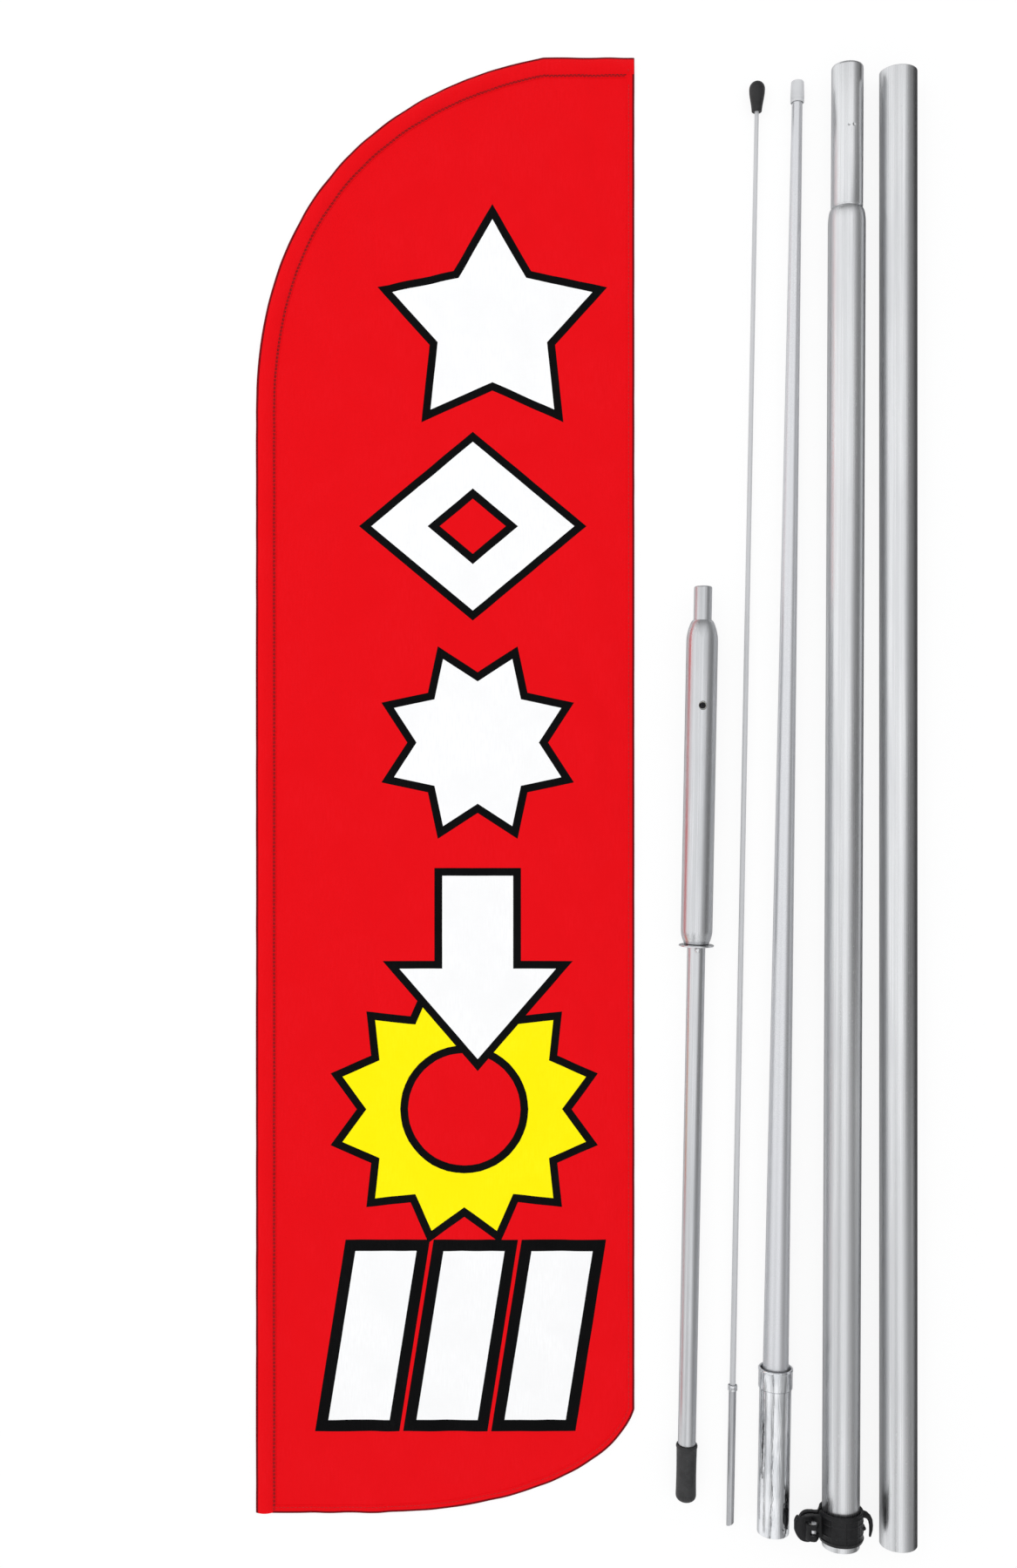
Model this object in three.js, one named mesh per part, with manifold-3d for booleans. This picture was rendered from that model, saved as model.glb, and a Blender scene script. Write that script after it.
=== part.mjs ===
// A feather flag and its pole, taken apart and laid flat side by side on one surface.
// Millimetres. +X runs across the layout, +Y along the poles towards the tip, +Z up.
// Each pole section is built along its own +Y axis from its lower end, then laid down on
// the two rims that it really rests on.
import * as THREE from "three";
import { mergeVertices } from "three/addons/utils/BufferGeometryUtils.js";
import Module from "manifold-3d";

const wasm = await Module();
wasm.setup();

// ---------------------------------------------------------------- driving dimensions

const GAP = 0.3; // between pieces that touch
const SIDES = 32; // flats on a large round
const SMALL_SIDES = 20; // flats on a small round
const PAST = 1; // a cut runs this far past the faces that it opens
const FAR = 30; // and this far where nothing else stands in its way

// Flag
const FLAG_WIDTH = 309;
const FLAG_HEIGHT = 1190;
const CLOTH = 0.8;
const SHOULDER_DROP = 289; // the pole edge starts to curve this far below the top
const SHOULDER_PULL = 191; // handle of the curve at the pole edge
const TOP_FLAT = 74.5; // the level stretch at the top of the free edge
const TOP_PULL = 115;
const TOP_ANGLE = THREE.MathUtils.degToRad(10.6);
const TAIL_RISE = 85; // the free edge ends this far above the bottom
const TAIL_FLAT = 88; // the level stretch of the bottom edge
const TAIL_DROP_PULL = 41;
const TAIL_DROP_ANGLE = THREE.MathUtils.degToRad(73);
const TAIL_PULL = 141;
const CURVE_STEPS = 18;
const SLEEVE_WIDTH = 15;
const SLEEVE_CLOTH = 0.6;
const SLEEVE_RISE = 1.8; // the empty sleeve stands this high over the panel
const SLEEVE_INSET = 0.4;
const SLEEVE_STATIONS = 12; // along the straight pole edge
const POCKET_LENGTH = 42;
const POCKET_WIDTH = 7;
const POCKET_CLOTH = 0.6;
const POCKET_INSET = 2; // from the free edge

// Large tubes
const TUBE_RADIUS = 15;
const TUBE_WALL = 2;
const TUBE_BORE = TUBE_RADIUS - TUBE_WALL;
const BASE_LENGTH = 1190;
const SWAGED_LENGTH = 1194;
const SPIGOT_GAP = 0.25; // the spigot slides into the next tube's bore
const SPIGOT_RADIUS = TUBE_BORE - SPIGOT_GAP;
const SPIGOT_LENGTH = 117;
const SWAGE_LENGTH = 7;
const EDGE_ROUND = 1;

// Tip rod's ferrule, and the tapered section that takes it
const ROD_FERRULE_RADIUS = 3;
const TAPER_LENGTH = 1178;
const TAPER_WALL = 1.4;
const TAPER_START = 26; // the tube's lower end, inside the ferrule
const SOCKET_DEPTH = 135; // straight bore at the top for the tip rod's ferrule
const SOCKET_GAP = 0.3;
const SOCKET_WALL = 0.95;
const TAPER_SMALL_RADIUS = ROD_FERRULE_RADIUS + SOCKET_GAP + SOCKET_WALL;
const FERRULE_GAP = 0.2; // the ferrule slides into the next tube's bore
const FERRULE_RADIUS = TUBE_BORE - FERRULE_GAP;
const FERRULE_WALL = 1.5;
const FERRULE_PLUG = 117; // goes into the tube below
const FERRULE_LIP = 16; // stays outside
const LIP_STEP = 0.65; // the lip is larger than the bore by this much
const LIP_RADIUS = TUBE_BORE + LIP_STEP;
const LIP_BEAD = 0.35;
const LIP_BEAD_LENGTH = 2;
const LIP_BEAD_SLOPE = 0.5;
const LIP_RECESS = 5;
const SPACER_LENGTH = 70;
const SPACER_FROM_TOP = 7;
const SPACER_GAP = 0.15; // round the liner
const SPACER_BORE_GAP = 0.25; // between the liner and the tube
const SPACER_WALL = 0.5;
const SPACER_RADIUS = FERRULE_RADIUS - FERRULE_WALL - SPACER_GAP;
const TAPER_LARGE_RADIUS = SPACER_RADIUS - SPACER_WALL - SPACER_BORE_GAP;
const TOP_COLLAR_LENGTH = 17.6;
const TOP_COLLAR_WALL = 1;
const TOP_COLLAR_LIP = 4;
const TOP_COLLAR_CROWN = 3; // the collar narrows from this far below the tube's end
const TOP_COLLAR_TAPER = 0.4;

// Tip section
const TIP_LENGTH = 1178;
const ROD_TOP_RADIUS = 1.75;
const ROD_LOW_RADIUS = 2.4;
const ROD_FERRULE_WALL = 0.6;
const ROD_TENON_GAP = 0.2;
const ROD_TENON_RADIUS = ROD_FERRULE_RADIUS - ROD_FERRULE_WALL - ROD_TENON_GAP;
const ROD_START = 34; // the rod's lower end, inside its ferrule
const ROD_FERRULE_LENGTH = 115;
const ROD_FERRULE_CUT = THREE.MathUtils.degToRad(24);
const RING_GAP = 0.2;
const RING_WALL = 0.65;
const RING_RADIUS = ROD_FERRULE_RADIUS + RING_GAP + RING_WALL;
const RING_LENGTH = 4.5;
const BALL_RADIUS = 6.4;
const BALL_NECK_RADIUS = 3.8;
const BALL_LENGTH = 25;
const BALL_CROWN = 6.5; // from the widest ring to the end
const BALL_SHOULDER = 7; // below the widest ring, where the skirt's slope ends
const BALL_SWELL = 0.5; // from there to the widest ring
const NECK_ROUND = 0.6;
const NECK_EDGE = 1.5;
const NECK_LENGTH = 5;
const NECK_FLARE = 0.5;

// Ground stake
const STAKE_LENGTH = 743;
const STAKE_RADIUS = 7.25;
const STAKE_POINT = 32;
const STAKE_NECK = 27.5; // the bare rod above the spindle
const SPINDLE_LENGTH = 261;
const SPINDLE_FOOT = STAKE_LENGTH - STAKE_NECK - SPINDLE_LENGTH;
const SPINDLE_GAP = 0.3; // the spindle slides into the pole's lowest tube
const SPINDLE_RADIUS = TUBE_BORE - SPINDLE_GAP;
const SPINDLE_WALL = 1.6;
const SPINDLE_NOSE = 17;
const SPINDLE_HEEL = 11;
const HEEL_GAP = 1.15; // round the rod at the spindle's foot
const SPINDLE_HEEL_RADIUS = STAKE_RADIUS + HEEL_GAP + SPINDLE_WALL;
const SPINDLE_HOLE_UP = 192; // the access hole above the spindle's lower edge
const SPINDLE_HOLE_RADIUS = 3.2;
const BUSH_LENGTH = 24;
const LOW_BUSH_UP = 16;
const RUNNING_GAP = 0.35;
const GROOVE_DEPTH = 1.4;
const GROOVE_LENGTH = 6;
const SCREW_RADIUS = 2.4;
const SCREW_SUNK = 1.2; // below the spindle's skin
const SCREW_CLEAR = 0.45; // between its foot and the groove
const NOSE_RIM = 2; // the length of the nose that is bored to the rod
const WASHER_OVERHANG = 1.5;
const WASHER_RADIUS = SPINDLE_RADIUS + WASHER_OVERHANG;
const WASHER_THICK = 1.2;
const WASHER_DISH = 0.8;
const CROSS_PIN_RADIUS = 2;
const CROSS_PIN_LENGTH = 22;
const GUARD_LENGTH = 47;
const GUARD_WALL = 0.75;
const GUARD_RADIUS = STAKE_RADIUS + GAP + GUARD_WALL;
const GUARD_ROUND = 5;
const GUARD_END_WALL = 6;

// Clamp with its hook, on the swaged section
const CLAMP_CENTRE = 17.2; // above the tube's lower end
const CLAMP_LENGTH = 24;
const CLAMP_BORE_GAP = 0.4;
const CLAMP_WALL = 2.3;
const CLAMP_RADIUS = TUBE_RADIUS + CLAMP_BORE_GAP + CLAMP_WALL;
const CLAMP_RIM_RISE = 0.8;
const CLAMP_RIM_RADIUS = CLAMP_RADIUS + CLAMP_RIM_RISE;
const CLAMP_RIM = 3;
const SPLIT = 3;
const LUG_THICK = 4.5;
const LUG_OUT = 15.8; // beyond the collar
const LUG_REACH = CLAMP_RADIUS + LUG_OUT;
const LUG_WIDTH = 18;
const LUG_CORNER = 8;
const BOLT_OUT = 7.5; // bolt and pin, beyond the collar
const BOLT_X = CLAMP_RADIUS + BOLT_OUT;
const BOLT_RADIUS = 2;
const BOLT_GAP = 0.5;
const LEVER_SLOT_GAP = 0.9; // between the bolt and the slot's end
const BOLT_Y = 0.6; // along the tube, from the middle of the clamp
const BOLT_HEAD_RADIUS = 4;
const BOLT_HEAD = 3.2;
const BOLT_WASHER_RADIUS = 5;
const BOLT_WASHER = 0.9;
const PIN_RADIUS = 3.1;
const CAM_RADIUS = 6;
const LEVER_SWING = THREE.MathUtils.degToRad(110);
const LEVER_DRAW = 1.2; // the cam lets the bolt down by this much over the swing
const LEVER_WIDTH = 20.5;
const LEVER_REACH = 13;
const LEVER_DROP = 12;
const LEVER_THICK = 3.4;
const THUMB_ROUND = 1.5; // inside the plate's bend
const LEVER_SLOT = 4.6;
const THUMB_CLEARANCE = 0.1; // under the thumb plate, more than the cam's own
const KNUCKLE_LOW = 6; // the knuckle's ends, from the middle of the clamp
const KNUCKLE_HIGH = 6.6;
const KNUCKLE_TOP = THREE.MathUtils.degToRad(70);
const KNUCKLE_STEP = 0.15; // radians short of the cam's first point
const PIN_INSET = 0.3;
const LEVER_CORNER = 10;
const HOOK_OUT = 8.7; // beyond the collar
const HOOK_REACH = CLAMP_RADIUS + HOOK_OUT;
const HOOK_THICK = 4;
const HOOK_WIDTH = 9;
const HOOK_LENGTH = 22;
const HOOK_BEND = 8;
const HOOK_ROOT = 1.5; // how far the hook runs into the collar
const HOOK_INSET = 1; // from the collar's upper end

// Where each section's lower end lies, from the flag's lower corner on the pole edge,
// and how far it is turned. Each section stands clear of the widest part of its neighbour.
const FLAG_TO_STAKE = 27.1;
const STAKE_TO_TIP = 22.5;
const TIP_TO_TAPER = 19.35;
const TAPER_TO_SWAGED = 6.85;
const SWAGED_TO_BASE = 6;
const STAKE_X = FLAG_WIDTH + FLAG_TO_STAKE + WASHER_RADIUS;
const TIP_X = STAKE_X + WASHER_RADIUS + STAKE_TO_TIP;
const TAPER_X = TIP_X + TIP_TO_TAPER + LIP_RADIUS;
const SWAGED_X = TAPER_X + LIP_RADIUS + TAPER_TO_SWAGED + LUG_REACH;
const BASE_X = SWAGED_X + HOOK_REACH + SWAGED_TO_BASE + TUBE_RADIUS;
const LAYOUT = {
  stake: { x: STAKE_X, y: 12.8, turn: -1.0 },
  tip: { x: TIP_X, y: -9.3, turn: -1.06 },
  taper: { x: TAPER_X, y: -9.0, turn: -1.06 },
  swaged: { x: SWAGED_X, y: -17.7, turn: -0.31 },
  base: { x: BASE_X, y: -18.4, turn: 0 },
};

// ---------------------------------------------------------------- materials

function finish(color, roughness, metalness) {
  return new THREE.MeshStandardMaterial({ color, roughness, metalness });
}

const RED_CLOTH = finish(0xec1a22, 0.8, 0);
const ALUMINIUM = finish(0xd4d6d8, 0.35, 1);
const GREY_TAPER = finish(0xc4c6c9, 0.4, 0.6);
const STEEL = finish(0xb9bbbe, 0.35, 1);
const CHROME = finish(0xdfe1e4, 0.12, 1);
const GREY_PLASTIC = finish(0xc9cacc, 0.5, 0);
const BLACK_PLASTIC = finish(0x1d1d1e, 0.4, 0);
const BLACK_RUBBER = finish(0x222222, 0.75, 0);
const BLACK_STEEL = finish(0x1a1a1b, 0.45, 0.8);
const NYLON = finish(0xe8e6df, 0.55, 0);

// ---------------------------------------------------------------- shape helpers

// A closed geometry as a solid that can be cut and joined.
function solidOf(geometry) {
  const bare = geometry.clone();
  bare.deleteAttribute("normal");
  bare.deleteAttribute("uv");
  const merged = mergeVertices(bare, 1e-4);
  const made = new wasm.Manifold(
    new wasm.Mesh({
      numProp: 3,
      vertProperties: new Float32Array(merged.attributes.position.array),
      triVerts: new Uint32Array(merged.index.array),
    }),
  );
  return made;
}

function geometryOf(solid) {
  const mesh = solid.getMesh();
  const positions = new Float32Array(mesh.numVert * 3);
  for (let i = 0; i < mesh.numVert; i++) {
    for (let k = 0; k < 3; k++) positions[3 * i + k] = mesh.vertProperties[mesh.numProp * i + k];
  }
  const geometry = new THREE.BufferGeometry();
  geometry.setAttribute("position", new THREE.BufferAttribute(positions, 3));
  geometry.setIndex(new THREE.BufferAttribute(new Uint32Array(mesh.triVerts), 1));
  const flat = geometry.toNonIndexed();
  flat.computeVertexNormals();
  return flat;
}

// The circumscribed radius of a bore whose flats stay clear of the round that it holds.
function boreFor(radius, gap, sides = SIDES) {
  return (radius + gap) / Math.cos(Math.PI / sides);
}

// A solid of revolution about Y; the profile is a list of [radius, y] going round it once.
function turned(profile, sides = SIDES) {
  const points = profile.map(([radius, y]) => new THREE.Vector2(radius, y));
  const area = THREE.ShapeUtils.area(points);
  if (area < 0) points.reverse();
  const onAxis = points.findIndex((p) => p.x === 0);
  if (onAxis < 0) return new THREE.LatheGeometry([...points, points[0].clone()], sides);
  // Start and end on the axis: turn the list so that its two axis points are its ends.
  const count = points.length;
  let start = 0;
  for (let i = 0; i < count; i++) {
    if (points[i].x === 0 && points[(i + count - 1) % count].x === 0) start = i;
  }
  const opened = points.map((_, i) => points[(start + i) % count]);
  return new THREE.LatheGeometry(opened, sides);
}

// A tube along Y.
function ring(outer, inner, from, to, sides = SIDES) {
  return turned([[inner, from], [outer, from], [outer, to], [inner, to]], sides);
}

// A cylinder along Y.
function bar(radius, from, to, sides = SIDES) {
  return turned([[0, from], [radius, from], [radius, to], [0, to]], sides);
}

// An outline in X and Y, drawn up along Z.
function slab(shape, from, to, curveSegments = 12) {
  const geometry = new THREE.ExtrudeGeometry(shape, {
    depth: to - from,
    bevelEnabled: false,
    curveSegments,
  });
  return geometry.translate(0, 0, from);
}

function block(x0, x1, y0, y1, z0, z1) {
  const geometry = new THREE.BoxGeometry(x1 - x0, y1 - y0, z1 - z0);
  return geometry.translate((x0 + x1) / 2, (y0 + y1) / 2, (z0 + z1) / 2);
}

function roundedRect(x0, x1, y0, y1, radius) {
  const shape = new THREE.Shape();
  shape.moveTo(x0 + radius, y0);
  shape.lineTo(x1 - radius, y0);
  shape.absarc(x1 - radius, y0 + radius, radius, -Math.PI / 2, 0);
  shape.lineTo(x1, y1 - radius);
  shape.absarc(x1 - radius, y1 - radius, radius, 0, Math.PI / 2);
  shape.lineTo(x0 + radius, y1);
  shape.absarc(x0 + radius, y1 - radius, radius, Math.PI / 2, Math.PI);
  shape.lineTo(x0, y0 + radius);
  shape.absarc(x0 + radius, y0 + radius, radius, Math.PI, 1.5 * Math.PI);
  return shape;
}

// A cross-section carried along a flat path: section is a list of [inwards, up].
function swept(path, section) {
  const count = section.length;
  const positions = [];
  path.forEach((point, i) => {
    const before = path[Math.max(0, i - 1)];
    const after = path[Math.min(path.length - 1, i + 1)];
    const along = after.clone().sub(before).normalize();
    const inward = new THREE.Vector2(along.y, -along.x);
    for (const [across, up] of section) {
      positions.push(point.x + across * inward.x, point.y + across * inward.y, up);
    }
  });
  const index = [];
  for (let i = 0; i + 1 < path.length; i++) {
    for (let j = 0; j < count; j++) {
      const a = i * count + j;
      const b = i * count + ((j + 1) % count);
      index.push(a, b, a + count, b, b + count, a + count);
    }
  }
  const faces = THREE.ShapeUtils.triangulateShape(
    section.map(([across, up]) => new THREE.Vector2(across, up)),
    [],
  );
  const last = (path.length - 1) * count;
  for (const [a, b, c] of faces) {
    index.push(a, c, b);
    index.push(last + a, last + b, last + c);
  }
  const geometry = new THREE.BufferGeometry();
  geometry.setAttribute("position", new THREE.Float32BufferAttribute(positions, 3));
  geometry.setIndex(index);
  if (solidOf(geometry).volume() < 0) {
    for (let i = 0; i < index.length; i += 3) {
      const second = index[i + 1];
      index[i + 1] = index[i + 2];
      index[i + 2] = second;
    }
    geometry.setIndex(index);
  }
  return geometry;
}

function piece(parent, name, geometry, material) {
  const mesh = new THREE.Mesh(geometry, material);
  mesh.name = name;
  parent.add(mesh);
  return mesh;
}

// A group whose +Y is a section's axis, laid down so that a low rim and a high rim both
// touch the surface. Each rim is { y, radius }.
function laidDown(place, low, high) {
  const group = new THREE.Group();
  const pitch = Math.atan2(high.radius - low.radius, high.y - low.y);
  const height = low.radius * Math.cos(pitch) - low.y * Math.sin(pitch);
  group.rotation.set(pitch, 0, THREE.MathUtils.degToRad(place.turn), "ZXY");
  group.position.set(place.x, place.y, height);
  return group;
}

// ---------------------------------------------------------------- flag

// The pole edge and the arched top, from the lower corner to the free edge.
function poleEdge(from, to) {
  const turn = FLAG_HEIGHT - SHOULDER_DROP;
  const level = FLAG_WIDTH - TOP_FLAT;
  const curve = new THREE.CubicBezierCurve(
    new THREE.Vector2(0, turn),
    new THREE.Vector2(0, turn + SHOULDER_PULL),
    new THREE.Vector2(
      level - TOP_PULL * Math.cos(TOP_ANGLE),
      FLAG_HEIGHT - TOP_PULL * Math.sin(TOP_ANGLE),
    ),
    new THREE.Vector2(level, FLAG_HEIGHT),
  );
  const points = [];
  for (let i = 0; i < SLEEVE_STATIONS; i++) {
    points.push(new THREE.Vector2(0, from + ((turn - from) * i) / SLEEVE_STATIONS));
  }
  points.push(...curve.getPoints(CURVE_STEPS));
  points.push(new THREE.Vector2(FLAG_WIDTH - to, FLAG_HEIGHT));
  return points;
}

function flagOutline() {
  const shape = new THREE.Shape(poleEdge(0, 0));
  shape.lineTo(FLAG_WIDTH, TAIL_RISE);
  shape.bezierCurveTo(
    FLAG_WIDTH - TAIL_DROP_PULL * Math.cos(TAIL_DROP_ANGLE),
    TAIL_RISE - TAIL_DROP_PULL * Math.sin(TAIL_DROP_ANGLE),
    TAIL_FLAT + TAIL_PULL,
    0,
    TAIL_FLAT,
    0,
  );
  return shape;
}

function sleeveSection() {
  const steps = 6;
  const floor = CLOTH + GAP;
  const width = SLEEVE_WIDTH - SLEEVE_INSET;
  const arch = [];
  for (let i = 0; i <= steps; i++) {
    const share = i / steps;
    arch.push([SLEEVE_INSET + share * width, floor + SLEEVE_RISE * Math.sin(Math.PI * share)]);
  }
  const above = arch.map(([across, up]) => [across, up + SLEEVE_CLOTH]).reverse();
  return [...arch, ...above];
}

function makeFlag() {
  const flag = new THREE.Group();
  piece(flag, "flag_panel", slab(flagOutline(), 0, CLOTH, CURVE_STEPS), RED_CLOTH);

  const route = poleEdge(SLEEVE_INSET, SLEEVE_INSET);
  piece(flag, "pole_sleeve", swept(route, sleeveSection()), RED_CLOTH);

  // A stiff patch inside the closed end of the sleeve takes the pole's tip.
  const middle = SLEEVE_WIDTH / 2;
  const low = CLOTH + GAP;
  const end = FLAG_WIDTH - POCKET_INSET;
  const path = [
    new THREE.Vector2(end - POCKET_LENGTH, FLAG_HEIGHT),
    new THREE.Vector2(end, FLAG_HEIGHT),
  ];
  const section = [
    [middle - POCKET_WIDTH / 2, low],
    [middle + POCKET_WIDTH / 2, low],
    [middle + POCKET_WIDTH / 2, low + POCKET_CLOTH],
    [middle - POCKET_WIDTH / 2, low + POCKET_CLOTH],
  ];
  piece(flag, "tip_pocket", swept(path, section), NYLON);
  return flag;
}

// ---------------------------------------------------------------- large tubes

function makeBaseSection() {
  const rim = { y: 0, radius: TUBE_RADIUS };
  const group = laidDown(LAYOUT.base, rim, { y: BASE_LENGTH, radius: TUBE_RADIUS });
  const bore = boreFor(TUBE_BORE, 0);
  piece(group, "base_tube", ring(TUBE_RADIUS, bore, 0, BASE_LENGTH), ALUMINIUM);
  return group;
}

function makeSwagedSection() {
  const shoulder = SWAGED_LENGTH - SPIGOT_LENGTH - SWAGE_LENGTH;
  const clampTop = CLAMP_CENTRE + CLAMP_LENGTH / 2;
  const group = laidDown(
    LAYOUT.swaged,
    { y: clampTop, radius: CLAMP_RIM_RADIUS },
    { y: shoulder, radius: TUBE_RADIUS },
  );
  const bore = boreFor(TUBE_BORE, 0);
  const spigotBore = boreFor(SPIGOT_RADIUS - TUBE_WALL, 0);
  piece(
    group,
    "swaged_tube",
    turned([
      [bore, 0],
      [TUBE_RADIUS, 0],
      [TUBE_RADIUS, shoulder],
      [SPIGOT_RADIUS, shoulder + SWAGE_LENGTH],
      [SPIGOT_RADIUS, SWAGED_LENGTH - EDGE_ROUND],
      [SPIGOT_RADIUS - EDGE_ROUND, SWAGED_LENGTH],
      [spigotBore, SWAGED_LENGTH],
      [spigotBore, shoulder + SWAGE_LENGTH],
      [bore, shoulder],
    ]),
    ALUMINIUM,
  );
  const clamp = makeClamp();
  clamp.position.y = CLAMP_CENTRE;
  group.add(clamp);
  return group;
}

// ---------------------------------------------------------------- clamp and hook

// The J of the hook, in the plane of the tube's axis: root high, mouth downwards.
function hookShape() {
  const root = CLAMP_RADIUS - HOOK_ROOT;
  const top = CLAMP_LENGTH / 2 - HOOK_INSET;
  const inside = HOOK_REACH - HOOK_THICK;
  const innerBend = HOOK_BEND - HOOK_THICK;
  const tip = top - HOOK_LENGTH;
  const tipRound = HOOK_THICK / 2;
  const shape = new THREE.Shape();
  shape.moveTo(root, top);
  shape.lineTo(HOOK_REACH - HOOK_BEND, top);
  shape.absarc(HOOK_REACH - HOOK_BEND, top - HOOK_BEND, HOOK_BEND, Math.PI / 2, 0, true);
  shape.lineTo(HOOK_REACH, tip + tipRound);
  shape.absarc(HOOK_REACH - tipRound, tip + tipRound, tipRound, 0, -Math.PI, true);
  shape.lineTo(inside, top - HOOK_BEND);
  shape.absarc(inside - innerBend, top - HOOK_BEND, innerBend, 0, Math.PI / 2, false);
  shape.lineTo(root, top - HOOK_THICK);
  return shape;
}

function clampCollar() {
  const half = CLAMP_LENGTH / 2;
  const lugFace = SPLIT / 2 + LUG_THICK;
  const bore = boreFor(TUBE_RADIUS, CLAMP_BORE_GAP);
  const band = turned([
    [bore, -half],
    [CLAMP_RIM_RADIUS, -half],
    [CLAMP_RIM_RADIUS, -half + CLAMP_RIM],
    [CLAMP_RADIUS, -half + CLAMP_RIM],
    [CLAMP_RADIUS, half - CLAMP_RIM],
    [CLAMP_RIM_RADIUS, half - CLAMP_RIM],
    [CLAMP_RIM_RADIUS, half],
    [bore, half],
  ]);
  const lugOutline = roundedRect(-LUG_REACH, 0, -LUG_WIDTH / 2, LUG_WIDTH / 2, LUG_CORNER);
  const lugs = slab(lugOutline, -lugFace, lugFace);
  const inside = bar(bore, -half, half);
  const split = block(-LUG_REACH - PAST, -bore / 2, -half - PAST, half + PAST, -SPLIT / 2, SPLIT / 2);
  const holeRadius = boreFor(BOLT_RADIUS, BOLT_GAP, SMALL_SIDES);
  const hole = bar(holeRadius, -lugFace - PAST, lugFace + PAST, SMALL_SIDES);
  hole.rotateX(Math.PI / 2).translate(-BOLT_X, BOLT_Y, 0);
  const hook = slab(hookShape(), -HOOK_WIDTH / 2, HOOK_WIDTH / 2, 6);
  const made = solidOf(band)
    .add(solidOf(lugs).subtract(solidOf(inside)))
    .add(solidOf(hook).subtract(solidOf(inside)))
    .subtract(solidOf(split))
    .subtract(solidOf(hole));
  return geometryOf(made);
}

// How far the cam's face stands from the pin, for each angle of the lever.
function camProfile() {
  const steps = 14;
  const fall = LEVER_DRAW / LEVER_SWING;
  const points = [];
  for (let i = 0; i <= steps; i++) {
    const swing = (LEVER_SWING * i) / steps;
    const reach = CAM_RADIUS - fall * swing;
    const angle = -Math.PI / 2 + swing;
    points.push(
      new THREE.Vector2(
        reach * Math.cos(angle) + fall * Math.sin(angle),
        reach * Math.sin(angle) - fall * Math.cos(angle),
      ),
    );
  }
  return points;
}

// Side view of the lever's knuckle round its pin: across is X, up is Z.
function knuckleSide() {
  const shape = new THREE.Shape(camProfile());
  shape.absarc(0, 0, CAM_RADIUS, KNUCKLE_TOP, 1.5 * Math.PI - KNUCKLE_STEP, false);
  return shape;
}

// Side view of the thumb plate, which lies on the upper lug and wraps down over its end.
function thumbSide() {
  const under = -CAM_RADIUS + THUMB_CLEARANCE;
  const top = under + LEVER_THICK;
  const inner = LEVER_REACH - LEVER_THICK;
  const tipRound = LEVER_THICK / 2;
  const bend = LEVER_THICK + THUMB_ROUND;
  const low = -LEVER_DROP + tipRound;
  const shape = new THREE.Shape();
  shape.moveTo(0, under);
  shape.lineTo(0, top);
  shape.lineTo(-LEVER_REACH + bend, top);
  shape.absarc(-LEVER_REACH + bend, top - bend, bend, Math.PI / 2, Math.PI, false);
  shape.lineTo(-LEVER_REACH, low);
  shape.absarc(-LEVER_REACH + tipRound, low, tipRound, Math.PI, 2 * Math.PI, false);
  shape.lineTo(-inner, under - THUMB_ROUND);
  shape.absarc(-inner + THUMB_ROUND, under - THUMB_ROUND, THUMB_ROUND, Math.PI, Math.PI / 2, true);
  return shape;
}

function camLever() {
  const half = LEVER_WIDTH / 2;
  const knuckle = slab(knuckleSide(), -KNUCKLE_HIGH, KNUCKLE_LOW, 8);
  knuckle.rotateX(Math.PI / 2);
  const thumb = slab(thumbSide(), -half, half, 8);
  thumb.rotateX(Math.PI / 2);
  const outline = roundedRect(-LEVER_REACH - 0.5, 3 * LEVER_CORNER, -half, half, LEVER_CORNER);
  const plan = slab(outline, -FAR, FAR, 8);
  const slotEnd = -BOLT_RADIUS - LEVER_SLOT_GAP;
  const slotHalf = LEVER_SLOT / 2;
  const slot = block(slotEnd, FAR, BOLT_Y - slotHalf, BOLT_Y + slotHalf, -FAR, FAR);
  const pinHole = bar(boreFor(PIN_RADIUS, GAP, SMALL_SIDES), -half, half, SMALL_SIDES);
  const made = solidOf(thumb)
    .intersect(solidOf(plan))
    .add(solidOf(knuckle))
    .subtract(solidOf(slot))
    .subtract(solidOf(pinHole));
  return geometryOf(made);
}

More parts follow.
